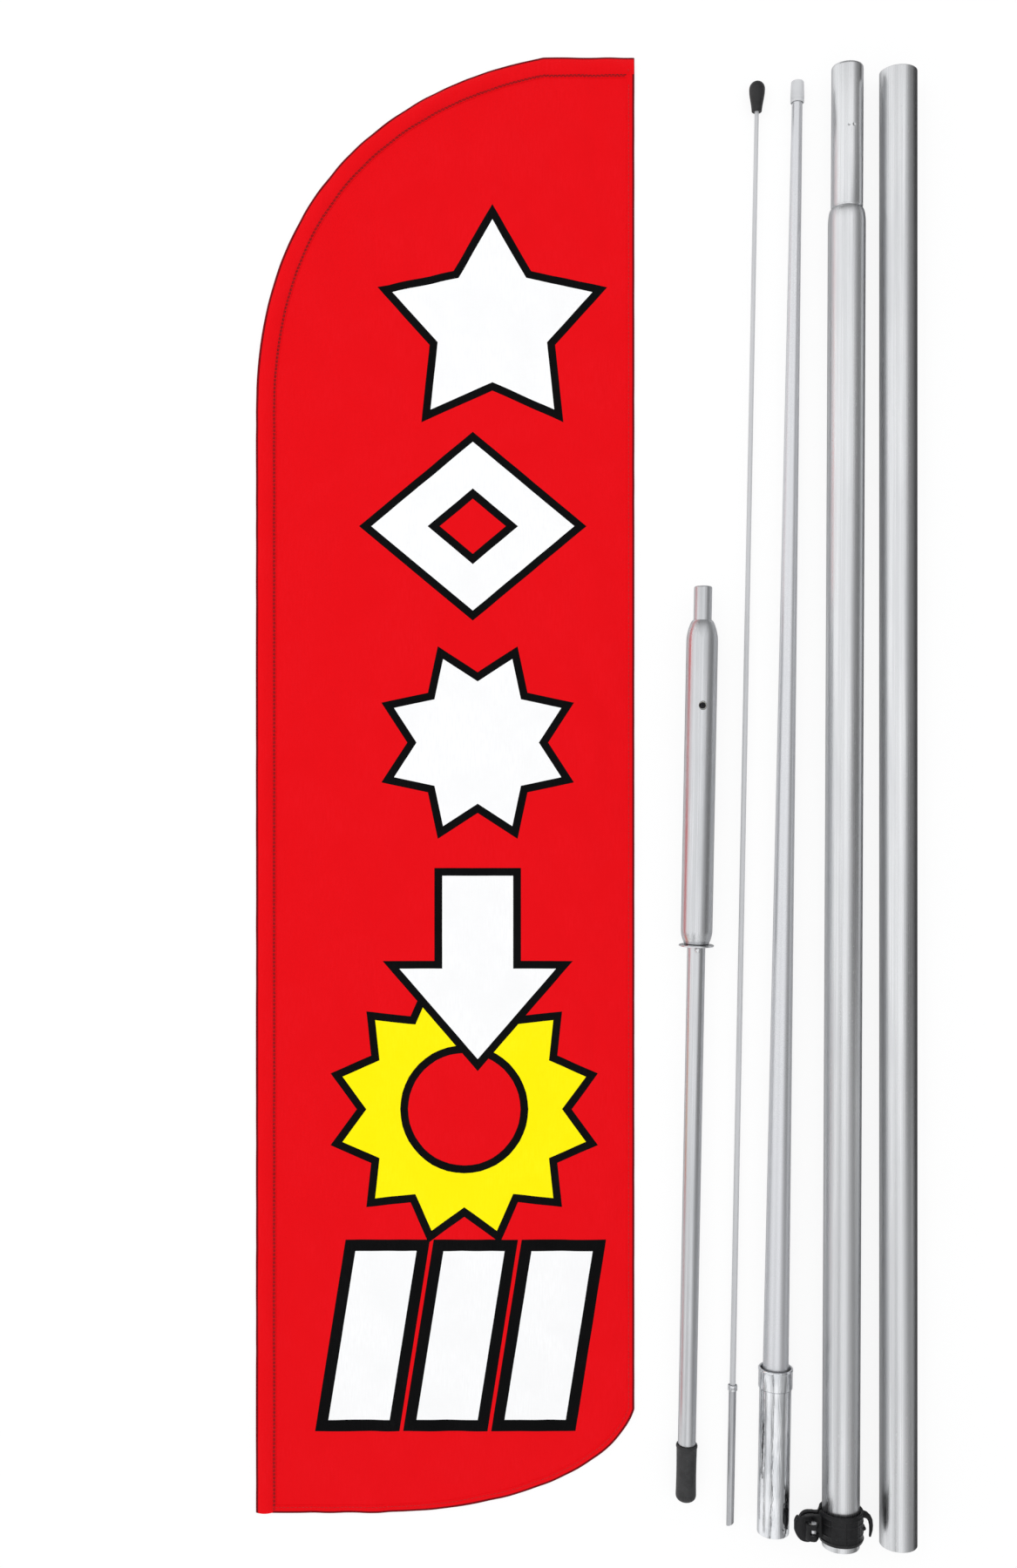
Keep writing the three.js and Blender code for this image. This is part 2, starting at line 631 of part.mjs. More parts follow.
function makeClamp() {
  const clamp = new THREE.Group();
  piece(clamp, "clamp_collar", clampCollar(), BLACK_PLASTIC);

  const lugFace = SPLIT / 2 + LUG_THICK;
  const pinUp = lugFace + GAP + CAM_RADIUS;
  const lever = new THREE.Group();
  lever.name = "lever_pivot";
  lever.position.set(-BOLT_X, 0, pinUp);
  clamp.add(lever);
  piece(lever, "cam_lever", camLever(), BLACK_PLASTIC);

  const boltBore = boreFor(BOLT_RADIUS, GAP, SMALL_SIDES);
  const crossHole = bar(boltBore, -PIN_RADIUS - PAST, PIN_RADIUS / 2, SMALL_SIDES);
  crossHole.rotateX(Math.PI / 2).translate(0, BOLT_Y, 0);
  const pin = bar(PIN_RADIUS, -KNUCKLE_LOW + PIN_INSET, KNUCKLE_HIGH - PIN_INSET, SMALL_SIDES);
  piece(lever, "pivot_pin", geometryOf(solidOf(pin).subtract(solidOf(crossHole))), STEEL);

  // Bolt and washer hang down from the pin through both lugs.
  const bolt = new THREE.Group();
  bolt.rotation.x = Math.PI / 2;
  bolt.position.set(-BOLT_X, BOLT_Y, 0);
  clamp.add(bolt);
  const washerTop = -lugFace - GAP;
  const headTop = washerTop - BOLT_WASHER - GAP;
  piece(
    bolt,
    "draw_bolt",
    turned(
      [
        [0, headTop - BOLT_HEAD],
        [BOLT_HEAD_RADIUS, headTop - BOLT_HEAD],
        [BOLT_HEAD_RADIUS, headTop],
        [BOLT_RADIUS, headTop],
        [BOLT_RADIUS, pinUp + PIN_RADIUS / 4],
        [0, pinUp + PIN_RADIUS / 4],
      ],
      SMALL_SIDES,
    ),
    STEEL,
  );
  piece(
    bolt,
    "bolt_washer",
    ring(
      BOLT_WASHER_RADIUS,
      boltBore,
      washerTop - BOLT_WASHER,
      washerTop,
      SMALL_SIDES,
    ),
    STEEL,
  );
  return clamp;
}

// ---------------------------------------------------------------- tapered section

// The outer radius of the tapered tube at a height on it.
function taperRadius(y) {
  const from = FERRULE_PLUG;
  const to = TAPER_LENGTH - TOP_COLLAR_LENGTH;
  const share = THREE.MathUtils.clamp((y - from) / (to - from), 0, 1);
  return THREE.MathUtils.lerp(TAPER_LARGE_RADIUS, TAPER_SMALL_RADIUS, share);
}

function makeTaperSection() {
  const beadRadius = LIP_RADIUS + LIP_BEAD;
  const lipTop = FERRULE_PLUG + FERRULE_LIP;
  const collarFoot = TAPER_LENGTH - TOP_COLLAR_LENGTH;
  const collarRadius = taperRadius(collarFoot) + GAP + TOP_COLLAR_WALL;
  const tubeTop = TAPER_LENGTH - TOP_COLLAR_LIP;
  const collarShoulder = tubeTop - TOP_COLLAR_CROWN;
  const group = laidDown(
    LAYOUT.taper,
    { y: lipTop, radius: beadRadius },
    { y: collarShoulder, radius: collarRadius },
  );

  const socket = boreFor(ROD_FERRULE_RADIUS, SOCKET_GAP, SMALL_SIDES);
  const socketFoot = tubeTop - SOCKET_DEPTH;
  piece(
    group,
    "taper_tube",
    turned([
      [TAPER_LARGE_RADIUS, TAPER_START],
      [TAPER_LARGE_RADIUS, FERRULE_PLUG],
      [TAPER_SMALL_RADIUS, collarFoot],
      [TAPER_SMALL_RADIUS, tubeTop],
      [socket, tubeTop],
      [socket, socketFoot],
      [TAPER_LARGE_RADIUS - TAPER_WALL, FERRULE_PLUG],
      [TAPER_LARGE_RADIUS - TAPER_WALL, TAPER_START],
    ]),
    GREY_TAPER,
  );

  const collarBore = boreFor(TAPER_SMALL_RADIUS, GAP, SMALL_SIDES);
  piece(
    group,
    "top_collar",
    turned(
      [
        [collarBore, collarFoot],
        [collarRadius, collarFoot],
        [collarRadius, collarShoulder],
        [collarRadius - TOP_COLLAR_TAPER, TAPER_LENGTH],
        [socket, TAPER_LENGTH],
        [socket, tubeTop + GAP],
        [collarBore, tubeTop + GAP],
      ],
      SIDES,
    ),
    GREY_PLASTIC,
  );

  const ferruleBore = boreFor(FERRULE_RADIUS - FERRULE_WALL, 0);
  piece(
    group,
    "chrome_ferrule",
    turned([
      [ferruleBore, 0],
      [FERRULE_RADIUS - EDGE_ROUND / 2, 0],
      [FERRULE_RADIUS, EDGE_ROUND],
      [FERRULE_RADIUS, FERRULE_PLUG],
      [LIP_RADIUS, FERRULE_PLUG],
      [LIP_RADIUS, lipTop - LIP_BEAD_LENGTH - LIP_BEAD_SLOPE],
      [beadRadius, lipTop - LIP_BEAD_LENGTH],
      [beadRadius, lipTop],
      [ferruleBore + FERRULE_WALL / 2, lipTop],
      [ferruleBore + FERRULE_WALL / 2, lipTop - LIP_RECESS],
      [ferruleBore, lipTop - LIP_RECESS],
    ]),
    CHROME,
  );

  // The liner that centres the tube in its ferrule.
  const spacerTop = lipTop - SPACER_FROM_TOP;
  const spacerBore = boreFor(TAPER_LARGE_RADIUS, SPACER_BORE_GAP);
  const spacer = ring(SPACER_RADIUS, spacerBore, spacerTop - SPACER_LENGTH, spacerTop);
  piece(group, "ferrule_spacer", spacer, NYLON);
  return group;
}

// ---------------------------------------------------------------- tip section

function makeTipSection() {
  const ballWidest = TIP_LENGTH - BALL_CROWN;
  const ballFoot = TIP_LENGTH - BALL_LENGTH;
  const ringFoot = ROD_FERRULE_LENGTH - RING_LENGTH;
  const group = laidDown(
    LAYOUT.tip,
    { y: ringFoot, radius: RING_RADIUS },
    { y: ballWidest, radius: BALL_RADIUS },
  );

  const rodTop = TIP_LENGTH - BALL_CROWN;
  piece(
    group,
    "flex_rod",
    turned(
      [
        [0, ROD_START],
        [ROD_TENON_RADIUS, ROD_START],
        [ROD_TENON_RADIUS, ROD_FERRULE_LENGTH + GAP],
        [ROD_LOW_RADIUS, ROD_FERRULE_LENGTH + GAP],
        [ROD_TOP_RADIUS, ballFoot],
        [ROD_TOP_RADIUS, rodTop],
        [0, rodTop],
      ],
      SMALL_SIDES,
    ),
    GREY_PLASTIC,
  );

  const ferrule = solidOf(
    ring(
      ROD_FERRULE_RADIUS,
      boreFor(ROD_TENON_RADIUS, ROD_TENON_GAP, SMALL_SIDES),
      0,
      ROD_FERRULE_LENGTH,
      SMALL_SIDES,
    ),
  );
  const cutter = block(-FAR, FAR, -FAR, 0, -FAR, FAR);
  cutter.rotateZ(ROD_FERRULE_CUT);
  cutter.translate(-ROD_FERRULE_RADIUS, 0, 0);
  piece(group, "rod_ferrule", geometryOf(ferrule.subtract(solidOf(cutter))), STEEL);
  const ringBore = boreFor(ROD_FERRULE_RADIUS, RING_GAP, SMALL_SIDES);
  const crimp = ring(RING_RADIUS, ringBore, ringFoot, ROD_FERRULE_LENGTH, SMALL_SIDES);
  piece(group, "ferrule_ring", crimp, STEEL);

  // Ball cap: a tapering skirt, a short cylinder and a domed crown, with a blind bore.
  const profile = [
    [boreFor(ROD_TOP_RADIUS, GAP, SMALL_SIDES), ballFoot],
    [BALL_NECK_RADIUS - NECK_ROUND, ballFoot],
    [BALL_NECK_RADIUS, ballFoot + NECK_EDGE],
    [BALL_NECK_RADIUS + NECK_FLARE, ballFoot + NECK_LENGTH],
    [BALL_RADIUS - BALL_SWELL, ballWidest - BALL_SHOULDER],
    [BALL_RADIUS, ballWidest],
  ];
  const crownSteps = 5;
  for (let i = 1; i < crownSteps; i++) {
    const angle = (Math.PI / 2) * (i / crownSteps);
    profile.push([BALL_RADIUS * Math.cos(angle), ballWidest + BALL_CROWN * Math.sin(angle)]);
  }
  profile.push([0, TIP_LENGTH]);
  profile.push([0, rodTop + GAP]);
  profile.push([boreFor(ROD_TOP_RADIUS, GAP, SMALL_SIDES), rodTop + GAP]);
  piece(group, "tip_ball", turned(profile, SMALL_SIDES), BLACK_RUBBER);
  return group;
}

// ---------------------------------------------------------------- ground stake

function makeStake() {
  const washerTop = SPINDLE_FOOT - GAP;
  const washerFoot = washerTop - WASHER_THICK - WASHER_DISH;
  const group = laidDown(
    LAYOUT.stake,
    { y: GUARD_ROUND, radius: GUARD_RADIUS },
    { y: washerFoot, radius: WASHER_RADIUS },
  );
  const holeUp = SPINDLE_FOOT + SPINDLE_HOLE_UP;
  const pinUp = washerFoot - GAP - CROSS_PIN_RADIUS;

  // Rod: a hidden point at the foot, a cross hole, and a groove for the retaining screw.
  const rod = solidOf(
    turned([
      [0, GUARD_END_WALL],
      [STAKE_RADIUS, GUARD_END_WALL + STAKE_POINT],
      [STAKE_RADIUS, holeUp - GROOVE_LENGTH / 2],
      [STAKE_RADIUS - GROOVE_DEPTH, holeUp - GROOVE_LENGTH / 2],
      [STAKE_RADIUS - GROOVE_DEPTH, holeUp + GROOVE_LENGTH / 2],
      [STAKE_RADIUS, holeUp + GROOVE_LENGTH / 2],
      [STAKE_RADIUS, STAKE_LENGTH - EDGE_ROUND],
      [STAKE_RADIUS - EDGE_ROUND, STAKE_LENGTH],
      [0, STAKE_LENGTH],
    ]),
  );
  const pinHole = bar(boreFor(CROSS_PIN_RADIUS, GAP, SMALL_SIDES), -FAR, FAR, SMALL_SIDES);
  pinHole.rotateX(Math.PI / 2).translate(0, pinUp, 0);
  piece(group, "spike_rod", geometryOf(rod.subtract(solidOf(pinHole))), STEEL);

  const pin = bar(CROSS_PIN_RADIUS, -CROSS_PIN_LENGTH / 2, CROSS_PIN_LENGTH / 2, SMALL_SIDES);
  pin.rotateX(Math.PI / 2).translate(0, pinUp, 0);
  piece(group, "cross_pin", pin, STEEL);

  const washerBore = boreFor(STAKE_RADIUS, RUNNING_GAP);
  piece(
    group,
    "stake_washer",
    turned([
      [washerBore, washerFoot + WASHER_DISH],
      [WASHER_RADIUS, washerFoot],
      [WASHER_RADIUS, washerFoot + WASHER_THICK],
      [washerBore, washerTop],
    ]),
    STEEL,
  );

  const guardBore = boreFor(STAKE_RADIUS, GAP);
  const guard = [];
  const roundSteps = 4;
  guard.push([0, 0]);
  for (let i = 0; i <= roundSteps; i++) {
    const angle = (Math.PI / 2) * (i / roundSteps);
    guard.push([
      GUARD_RADIUS - GUARD_ROUND + GUARD_ROUND * Math.sin(angle),
      GUARD_ROUND - GUARD_ROUND * Math.cos(angle),
    ]);
  }
  guard.push([GUARD_RADIUS, GUARD_LENGTH]);
  guard.push([guardBore, GUARD_LENGTH]);
  guard.push([guardBore, GUARD_END_WALL + STAKE_POINT]);
  guard.push([0, GUARD_END_WALL - GAP]);
  piece(group, "point_guard", turned(guard), BLACK_RUBBER);

  group.add(makeSpindle(holeUp));
  return group;
}

// The sleeve that turns on the stake's rod, with its bushes and the screw that keeps it on.
function makeSpindle(holeUp) {
  const spindle = new THREE.Group();
  const top = SPINDLE_FOOT + SPINDLE_LENGTH;
  const noseRadius = STAKE_RADIUS + RUNNING_GAP + SPINDLE_WALL / 2;
  const rodBore = boreFor(STAKE_RADIUS, RUNNING_GAP);
  const bore = boreFor(SPINDLE_RADIUS - SPINDLE_WALL, 0);
  const shell = solidOf(
    turned([
      [SPINDLE_HEEL_RADIUS, SPINDLE_FOOT],
      [SPINDLE_RADIUS, SPINDLE_FOOT + SPINDLE_HEEL],
      [SPINDLE_RADIUS, top - SPINDLE_NOSE],
      [noseRadius, top],
      [rodBore, top],
      [rodBore, top - NOSE_RIM],
      [bore, top - SPINDLE_NOSE],
      [bore, SPINDLE_FOOT + SPINDLE_HEEL],
      [SPINDLE_HEEL_RADIUS - SPINDLE_WALL, SPINDLE_FOOT],
    ]),
  );
  const hole = bar(SPINDLE_HOLE_RADIUS, 0, FAR, SMALL_SIDES);
  hole.rotateX(Math.PI / 2).translate(0, holeUp, 0);
  piece(spindle, "spindle_sleeve", geometryOf(shell.subtract(solidOf(hole))), STEEL);

  const bushRadius = SPINDLE_RADIUS - SPINDLE_WALL - GAP;
  const lowFoot = SPINDLE_FOOT + LOW_BUSH_UP;
  piece(spindle, "lower_bush", ring(bushRadius, rodBore, lowFoot, lowFoot + BUSH_LENGTH), NYLON);

  const highFoot = holeUp - BUSH_LENGTH / 2;
  const upper = ring(bushRadius, rodBore, highFoot, highFoot + BUSH_LENGTH);
  const seat = bar(boreFor(SCREW_RADIUS, GAP, SMALL_SIDES), 0, FAR, SMALL_SIDES);
  seat.rotateX(Math.PI / 2).translate(0, holeUp, 0);
  piece(spindle, "upper_bush", geometryOf(solidOf(upper).subtract(solidOf(seat))), NYLON);

  const screwFoot = STAKE_RADIUS - GROOVE_DEPTH + SCREW_CLEAR;
  const screw = bar(SCREW_RADIUS, screwFoot, SPINDLE_RADIUS - SCREW_SUNK, SMALL_SIDES);
  screw.rotateX(Math.PI / 2).translate(0, holeUp, 0);
  piece(spindle, "retaining_screw", screw, BLACK_STEEL);
  return spindle;
}

// ---------------------------------------------------------------- the whole layout

const layout = new THREE.Group();
layout.add(makeFlag(), makeStake(), makeTipSection());
layout.add(makeTaperSection(), makeSwagedSection(), makeBaseSection());

// The origin is the middle of the layout's box, on the surface that everything lies on.
const box = new THREE.Box3().setFromObject(layout, true);
const middle = box.getCenter(new THREE.Vector3());
layout.position.set(-middle.x, -middle.y, -box.min.z);

const kit = new THREE.Group();
kit.add(layout);
export default kit;
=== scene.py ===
import math
import random

import bpy
import numpy as np
from mathutils import Matrix, Vector, kdtree
from mathutils.geometry import delaunay_2d_cdt


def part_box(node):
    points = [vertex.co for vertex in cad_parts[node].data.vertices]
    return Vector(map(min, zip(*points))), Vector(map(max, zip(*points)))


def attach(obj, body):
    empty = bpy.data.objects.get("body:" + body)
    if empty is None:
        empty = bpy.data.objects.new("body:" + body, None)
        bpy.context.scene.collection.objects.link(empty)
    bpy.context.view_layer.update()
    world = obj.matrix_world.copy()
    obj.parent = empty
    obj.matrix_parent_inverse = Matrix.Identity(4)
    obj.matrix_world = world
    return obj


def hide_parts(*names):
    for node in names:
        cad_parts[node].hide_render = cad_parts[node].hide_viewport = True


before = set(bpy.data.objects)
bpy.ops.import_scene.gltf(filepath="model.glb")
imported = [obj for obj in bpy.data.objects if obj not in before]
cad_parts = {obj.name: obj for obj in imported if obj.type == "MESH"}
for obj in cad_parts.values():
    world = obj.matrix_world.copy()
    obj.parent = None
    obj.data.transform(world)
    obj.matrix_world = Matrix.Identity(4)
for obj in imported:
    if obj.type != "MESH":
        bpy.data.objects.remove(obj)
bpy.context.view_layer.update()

MM = 0.001
UP = Vector((0, 0, 1))
QUARTER = math.pi / 2
ROUND = 96  # flats on a large round piece
SMALL_ROUND = 48
FINE_ROUND = 224  # where marks are pressed into it

# ------------------------------------------------------------------ camera

EYE = Vector((-0.062, 0.0103, 1.22))  # straight above the layout, looking down
SEEN_LENGTH = 1.2843  # what the long side of the view takes in on the floor
SENSOR = 36


def make_camera():
    data = bpy.data.cameras.new("camera")
    data.sensor_width = SENSOR
    data.lens = SENSOR * EYE.z / SEEN_LENGTH
    camera = bpy.data.objects.new("camera", data)
    camera.location = EYE
    bpy.context.scene.collection.objects.link(camera)
    bpy.context.scene.camera = camera


# ------------------------------------------------------------------ node helpers


def feed(tree, node, socket, value):
    """Puts a number or another node's output into a socket."""
    if isinstance(value, bpy.types.NodeSocket):
        tree.links.new(value, node.inputs[socket])
    else:
        node.inputs[socket].default_value = value


def math_node(tree, operation, *values):
    node = tree.nodes.new("ShaderNodeMath")
    node.operation = operation
    for place, value in enumerate(values):
        feed(tree, node, place, value)
    return node.outputs[0]


def spread_node(tree, value, low, high, to_low=0.0, to_high=1.0):
    """Maps low..high to to_low..to_high, smoothly and with the ends held."""
    node = tree.nodes.new("ShaderNodeMapRange")
    node.interpolation_type = "SMOOTHSTEP"
    for place, given in enumerate((value, low, high, to_low, to_high)):
        feed(tree, node, place, given)
    return node.outputs[0]


def noise_node(tree, vector, scale, detail=2.0, roughness=0.5, distortion=0.0):
    node = tree.nodes.new("ShaderNodeTexNoise")
    feed(tree, node, "Vector", vector)
    feed(tree, node, "Scale", scale)
    feed(tree, node, "Detail", detail)
    feed(tree, node, "Roughness", roughness)
    feed(tree, node, "Distortion", distortion)
    return node.outputs["Fac"]


def own_place(tree):
    """The place on the piece, in its own metres."""
    return tree.nodes.new("ShaderNodeTexCoord").outputs["Object"]


def scaled(tree, vector, x, y, z):
    """The place stretched along each of its axes."""
    factors = tree.nodes.new("ShaderNodeCombineXYZ")
    for place, value in enumerate((x, y, z)):
        feed(tree, factors, place, value)
    product = tree.nodes.new("ShaderNodeVectorMath")
    product.operation = "MULTIPLY"
    feed(tree, product, 0, vector)
    feed(tree, product, 1, factors.outputs[0])
    return product.outputs[0]


def effect(name, inputs, outputs):
    """An empty shared effect with named number inputs and outputs."""
    group = bpy.data.node_groups.new(name, "ShaderNodeTree")
    for label, value in inputs.items():
        socket = group.interface.new_socket(label, in_out="INPUT", socket_type="NodeSocketFloat")
        socket.default_value = value
    for label in outputs:
        group.interface.new_socket(label, in_out="OUTPUT", socket_type="NodeSocketFloat")
    given = group.nodes.new("NodeGroupInput").outputs
    result = group.nodes.new("NodeGroupOutput").inputs
    return group, given, result


# ------------------------------------------------------------------ shared effects


def drawn_lines_effect():
    """Long fine lines along the piece, as a drawn or ground metal surface has."""
    group, given, result = effect("drawn_lines", {"Across": 1400.0, "Along": 5.0}, ["Lines"])
    place = scaled(group, own_place(group), given["Across"], given["Along"], given["Across"])
    fine = noise_node(group, place, 1.0, detail=3.0, roughness=0.65)
    group.links.new(spread_node(group, fine, 0.3, 0.7), result["Lines"])
    return group


def clouds_effect():
    """Slow uneven patches of a given size in metres."""
    group, given, result = effect("clouds", {"Size": 0.03, "Stretch": 1.0}, ["Clouds"])
    scale = math_node(group, "DIVIDE", 1.0, given["Size"])
    along = math_node(group, "DIVIDE", 1.0, given["Stretch"])
    place = scaled(group, own_place(group), 1.0, along, 1.0)
    slow = noise_node(group, place, scale, detail=4.0, roughness=0.55, distortion=0.4)
    group.links.new(spread_node(group, slow, 0.32, 0.68), result["Clouds"])
    return group


def scuffs_effect():
    """Thin scratches from handling, in two crossing directions."""
    group, given, result = effect("scuffs", {"Amount": 0.5}, ["Scuffs"])
    place = own_place(group)
    floor = math_node(group, "MULTIPLY_ADD", given["Amount"], -0.1, 0.75)
    first = noise_node(group, scaled(group, place, 2600, 120, 900), 1.0, detail=1.0)
    second = noise_node(group, scaled(group, place, 300, 1500, 2200), 1.0, detail=1.0)
    strongest = math_node(group, "MAXIMUM", first, second)
    ceiling = math_node(group, "ADD", floor, 0.04)
    marks = spread_node(group, strongest, floor, ceiling)
    group.links.new(marks, result["Scuffs"])
    return group


def worn_edges_effect():
    """Strong on sharp outer edges, nothing in hollows or on flats."""
    group, given, result = effect("worn_edges", {"Width": 0.05}, ["Edges"])
    sharpness = group.nodes.new("ShaderNodeNewGeometry").outputs["Pointiness"]
    high = math_node(group, "ADD", given["Width"], 0.5)
    broken = noise_node(group, own_place(group), 600.0, detail=3.0)
    edges = spread_node(group, sharpness, 0.505, high)
    group.links.new(math_node(group, "MULTIPLY", edges, broken), result["Edges"])
    return group


def dust_effect():
    """Fine specks that lie on what faces up."""
    group, given, result = effect("dust", {"Amount": 0.4}, ["Dust"])
    normal = group.nodes.new("ShaderNodeNewGeometry").outputs["Normal"]
    parts = group.nodes.new("ShaderNodeSeparateXYZ")
    group.links.new(normal, parts.inputs[0])
    facing = spread_node(group, parts.outputs["Z"], 0.2, 1.0)
    specks = noise_node(group, own_place(group), 1800.0, detail=2.0, roughness=0.8)
    few = spread_node(group, specks, 0.62, 0.75)
    amount = math_node(group, "MULTIPLY", few, given["Amount"])
    group.links.new(math_node(group, "MULTIPLY", facing, amount), result["Dust"])
    return group


def weave_effect():
    """Plain weave: threads that pass over and under each other, Pitch metres apart."""
    group, given, result = effect("weave", {"Pitch": 0.0009}, ["Height", "Tone"])
    parts = group.nodes.new("ShaderNodeSeparateXYZ")
    group.links.new(own_place(group), parts.inputs[0])
    turns = math_node(group, "DIVIDE", math.pi, given["Pitch"])
    waves = [
        math_node(group, "SINE", math_node(group, "MULTIPLY", parts.outputs[axis], turns))
        for axis in ("X", "Y")
    ]
    rounds = [math_node(group, "ABSOLUTE", wave) for wave in waves]
    over = math_node(group, "GREATER_THAN", math_node(group, "MULTIPLY", *waves), 0.0)
    under = math_node(group, "SUBTRACT", 1.0, over)
    height = math_node(
        group,
        "ADD",
        math_node(group, "MULTIPLY", rounds[0], over),
        math_node(group, "MULTIPLY", rounds[1], under),
    )
    uneven = noise_node(group, scaled(group, own_place(group), 900, 90, 1), 1.0, detail=2.0)
    group.links.new(height, result["Height"])
    group.links.new(spread_node(group, uneven, 0.3, 0.7), result["Tone"])
    return group


EFFECTS = {
    "lines": drawn_lines_effect(),
    "clouds": clouds_effect(),
    "scuffs": scuffs_effect(),
    "edges": worn_edges_effect(),
    "dust": dust_effect(),
    "weave": weave_effect(),
}


# ------------------------------------------------------------------ materials


class Finish:
    """One material: a Principled shader, with shared effects fed to it."""

    def __init__(self, name, **constants):
        self.material = bpy.data.materials.new(name)
        self.material.use_nodes = True
        self.tree = self.material.node_tree
        self.shader = self.tree.nodes["Principled BSDF"]
        for label, value in constants.items():
            self.shader.inputs[label.replace("_", " ")].default_value = value

    def use(self, effect_name, output=None, **values):
        """One output of a shared effect: the one with the effect's own name unless another is asked."""
        node = self.tree.nodes.new("ShaderNodeGroup")
        node.node_tree = EFFECTS[effect_name]
        for label, value in values.items():
            node.inputs[label].default_value = value
        return node.outputs[output or effect_name.capitalize()]

    def colour(self, *layers):
        """The base colour: a first colour, then (mask, colour) pairs laid over it."""
        current = None
        for mask, tone in layers:
            if current is None:
                current = tone
                continue
            mix = self.tree.nodes.new("ShaderNodeMix")
            mix.data_type = "RGBA"
            feed(self.tree, mix, 0, mask)
            feed(self.tree, mix, 6, current)
            feed(self.tree, mix, 7, tone)
            current = mix.outputs[2]
        feed(self.tree, self.shader, "Base Color", current)

    def rough(self, base, *layers):
        """Roughness: a base, plus each (mask, amount)."""
        current = base
        for mask, amount in layers:
            current = math_node(self.tree, "MULTIPLY_ADD", mask, amount, current)
        feed(self.tree, self.shader, "Roughness", math_node(self.tree, "MAXIMUM", current, 0.03))

    def relief(self, *layers):
        """Bump: each (height, depth in metres) laid one on another."""
        normal = None
        for height, depth in layers:
            bump = self.tree.nodes.new("ShaderNodeBump")
            bump.inputs["Distance"].default_value = depth
            feed(self.tree, bump, "Height", height)
            if normal is not None:
                feed(self.tree, bump, "Normal", normal)
            normal = bump.outputs[0]
        feed(self.tree, self.shader, "Normal", normal)


def linear(red, green, blue):
    """A colour given in the 0 to 255 of a paint chart, as the shader wants it."""
    def one(value):
        share = value / 255
        return share / 12.92 if share <= 0.04045 else ((share + 0.055) / 1.055) ** 2.4
    return (one(red), one(green), one(blue), 1.0)


def printed_cloth(name, ink, faded):
    """Knitted polyester flag cloth, dyed right through with one ink."""
    cloth = Finish(name, Specular_IOR_Level=0.1, Sheen_Weight=0.03, Sheen_Roughness=0.4)
    cloth.shader.inputs["Sheen Tint"].default_value = ink
    tone = cloth.use("weave", "Tone", Pitch=0.0009)
    height = cloth.use("weave", "Height", Pitch=0.0009)
    patches = cloth.use("clouds", Size=0.05)
    light = math_node(cloth.tree, "MULTIPLY", tone, patches)
    cloth.colour((None, ink), (math_node(cloth.tree, "MULTIPLY", light, 0.55), faded))
    cloth.rough(0.72, (height, 0.16))
    cloth.relief((patches, 0.00012), (height, 0.00007))
    return cloth.material


def sewing_thread(name, shade, light):
    thread = Finish(name, Specular_IOR_Level=0.3, Sheen_Weight=0.05)
    twist = thread.use("lines", Across=5200.0, Along=1900.0)
    thread.colour((None, shade), (twist, light))
    thread.rough(0.55, (twist, 0.2))
    thread.relief((twist, 0.00008))
    return thread.material


def webbing():
    tape = Finish("pocket_webbing", Specular_IOR_Level=0.3, Sheen_Weight=0.2)
    height = tape.use("weave", "Height", Pitch=0.0011)
    tone = tape.use("weave", "Tone", Pitch=0.0011)
    tape.colour((None, linear(205, 203, 196)), (tone, linear(235, 233, 226)))
    tape.rough(0.65, (height, 0.2))
    tape.relief((height, 0.00018))
    return tape.material


def bare_metal(name, shade, dull, rough, lines=0.12):
    """Drawn or ground metal: lengthwise lines, slow patches and light scuffs."""
    metal = Finish(name, Metallic=1.0)
    metal.shader.inputs["Specular Tint"].default_value = (0.45, 0.45, 0.45, 1)
    streak = metal.use("lines", Across=1400.0, Along=5.0)
    patches = metal.use("clouds", Size=0.02, Stretch=8.0)
    marks = metal.use("scuffs", Amount=0.5)
    metal.colour(
        (None, shade),
        (math_node(metal.tree, "MULTIPLY", streak, 0.5), dull),
        (math_node(metal.tree, "MULTIPLY", patches, 0.35), dull),
    )
    metal.rough(rough, (streak, lines), (patches, 0.08), (marks, 0.12))
    metal.relief((streak, 0.00002), (marks, 0.00001))
    return metal.material


def silver_lacquer():
    """The tapered tube's smooth silver finish."""
    paint = Finish("silver_lacquer", Metallic=0.85, Coat_Weight=0.25, Coat_Roughness=0.12)
    paint.shader.inputs["Specular Tint"].default_value = (0.5, 0.5, 0.5, 1)
    flake = paint.use("clouds", Size=0.0006)
    slow = paint.use("clouds", Size=0.03, Stretch=6.0)
    paint.colour(
        (None, linear(226, 227, 229)), (flake, linear(205, 206, 209)), (slow, linear(216, 217, 220))
    )
    paint.rough(0.27, (flake, 0.06), (slow, 0.05))
    paint.relief((flake, 0.00001))
    return paint.material


def bright_chrome():
    """Plated ferrule: mirror bright, with a rippled plating and haze."""
    chrome = Finish("bright_chrome", Metallic=1.0)
    chrome.shader.inputs["Specular Tint"].default_value = (0.6, 0.6, 0.6, 1)
    haze = chrome.use("clouds", Size=0.012, Stretch=3.0)
    ripple = chrome.use("clouds", Size=0.009, Stretch=9.0)
    marks = chrome.use("scuffs", Amount=0.6)
    chrome.colour((None, linear(240, 241, 243)), (haze, linear(214, 216, 219)))
    chrome.rough(0.04, (haze, 0.06), (marks, 0.1))
    chrome.relief((ripple, 0.0002), (marks, 0.00001))
    return chrome.material


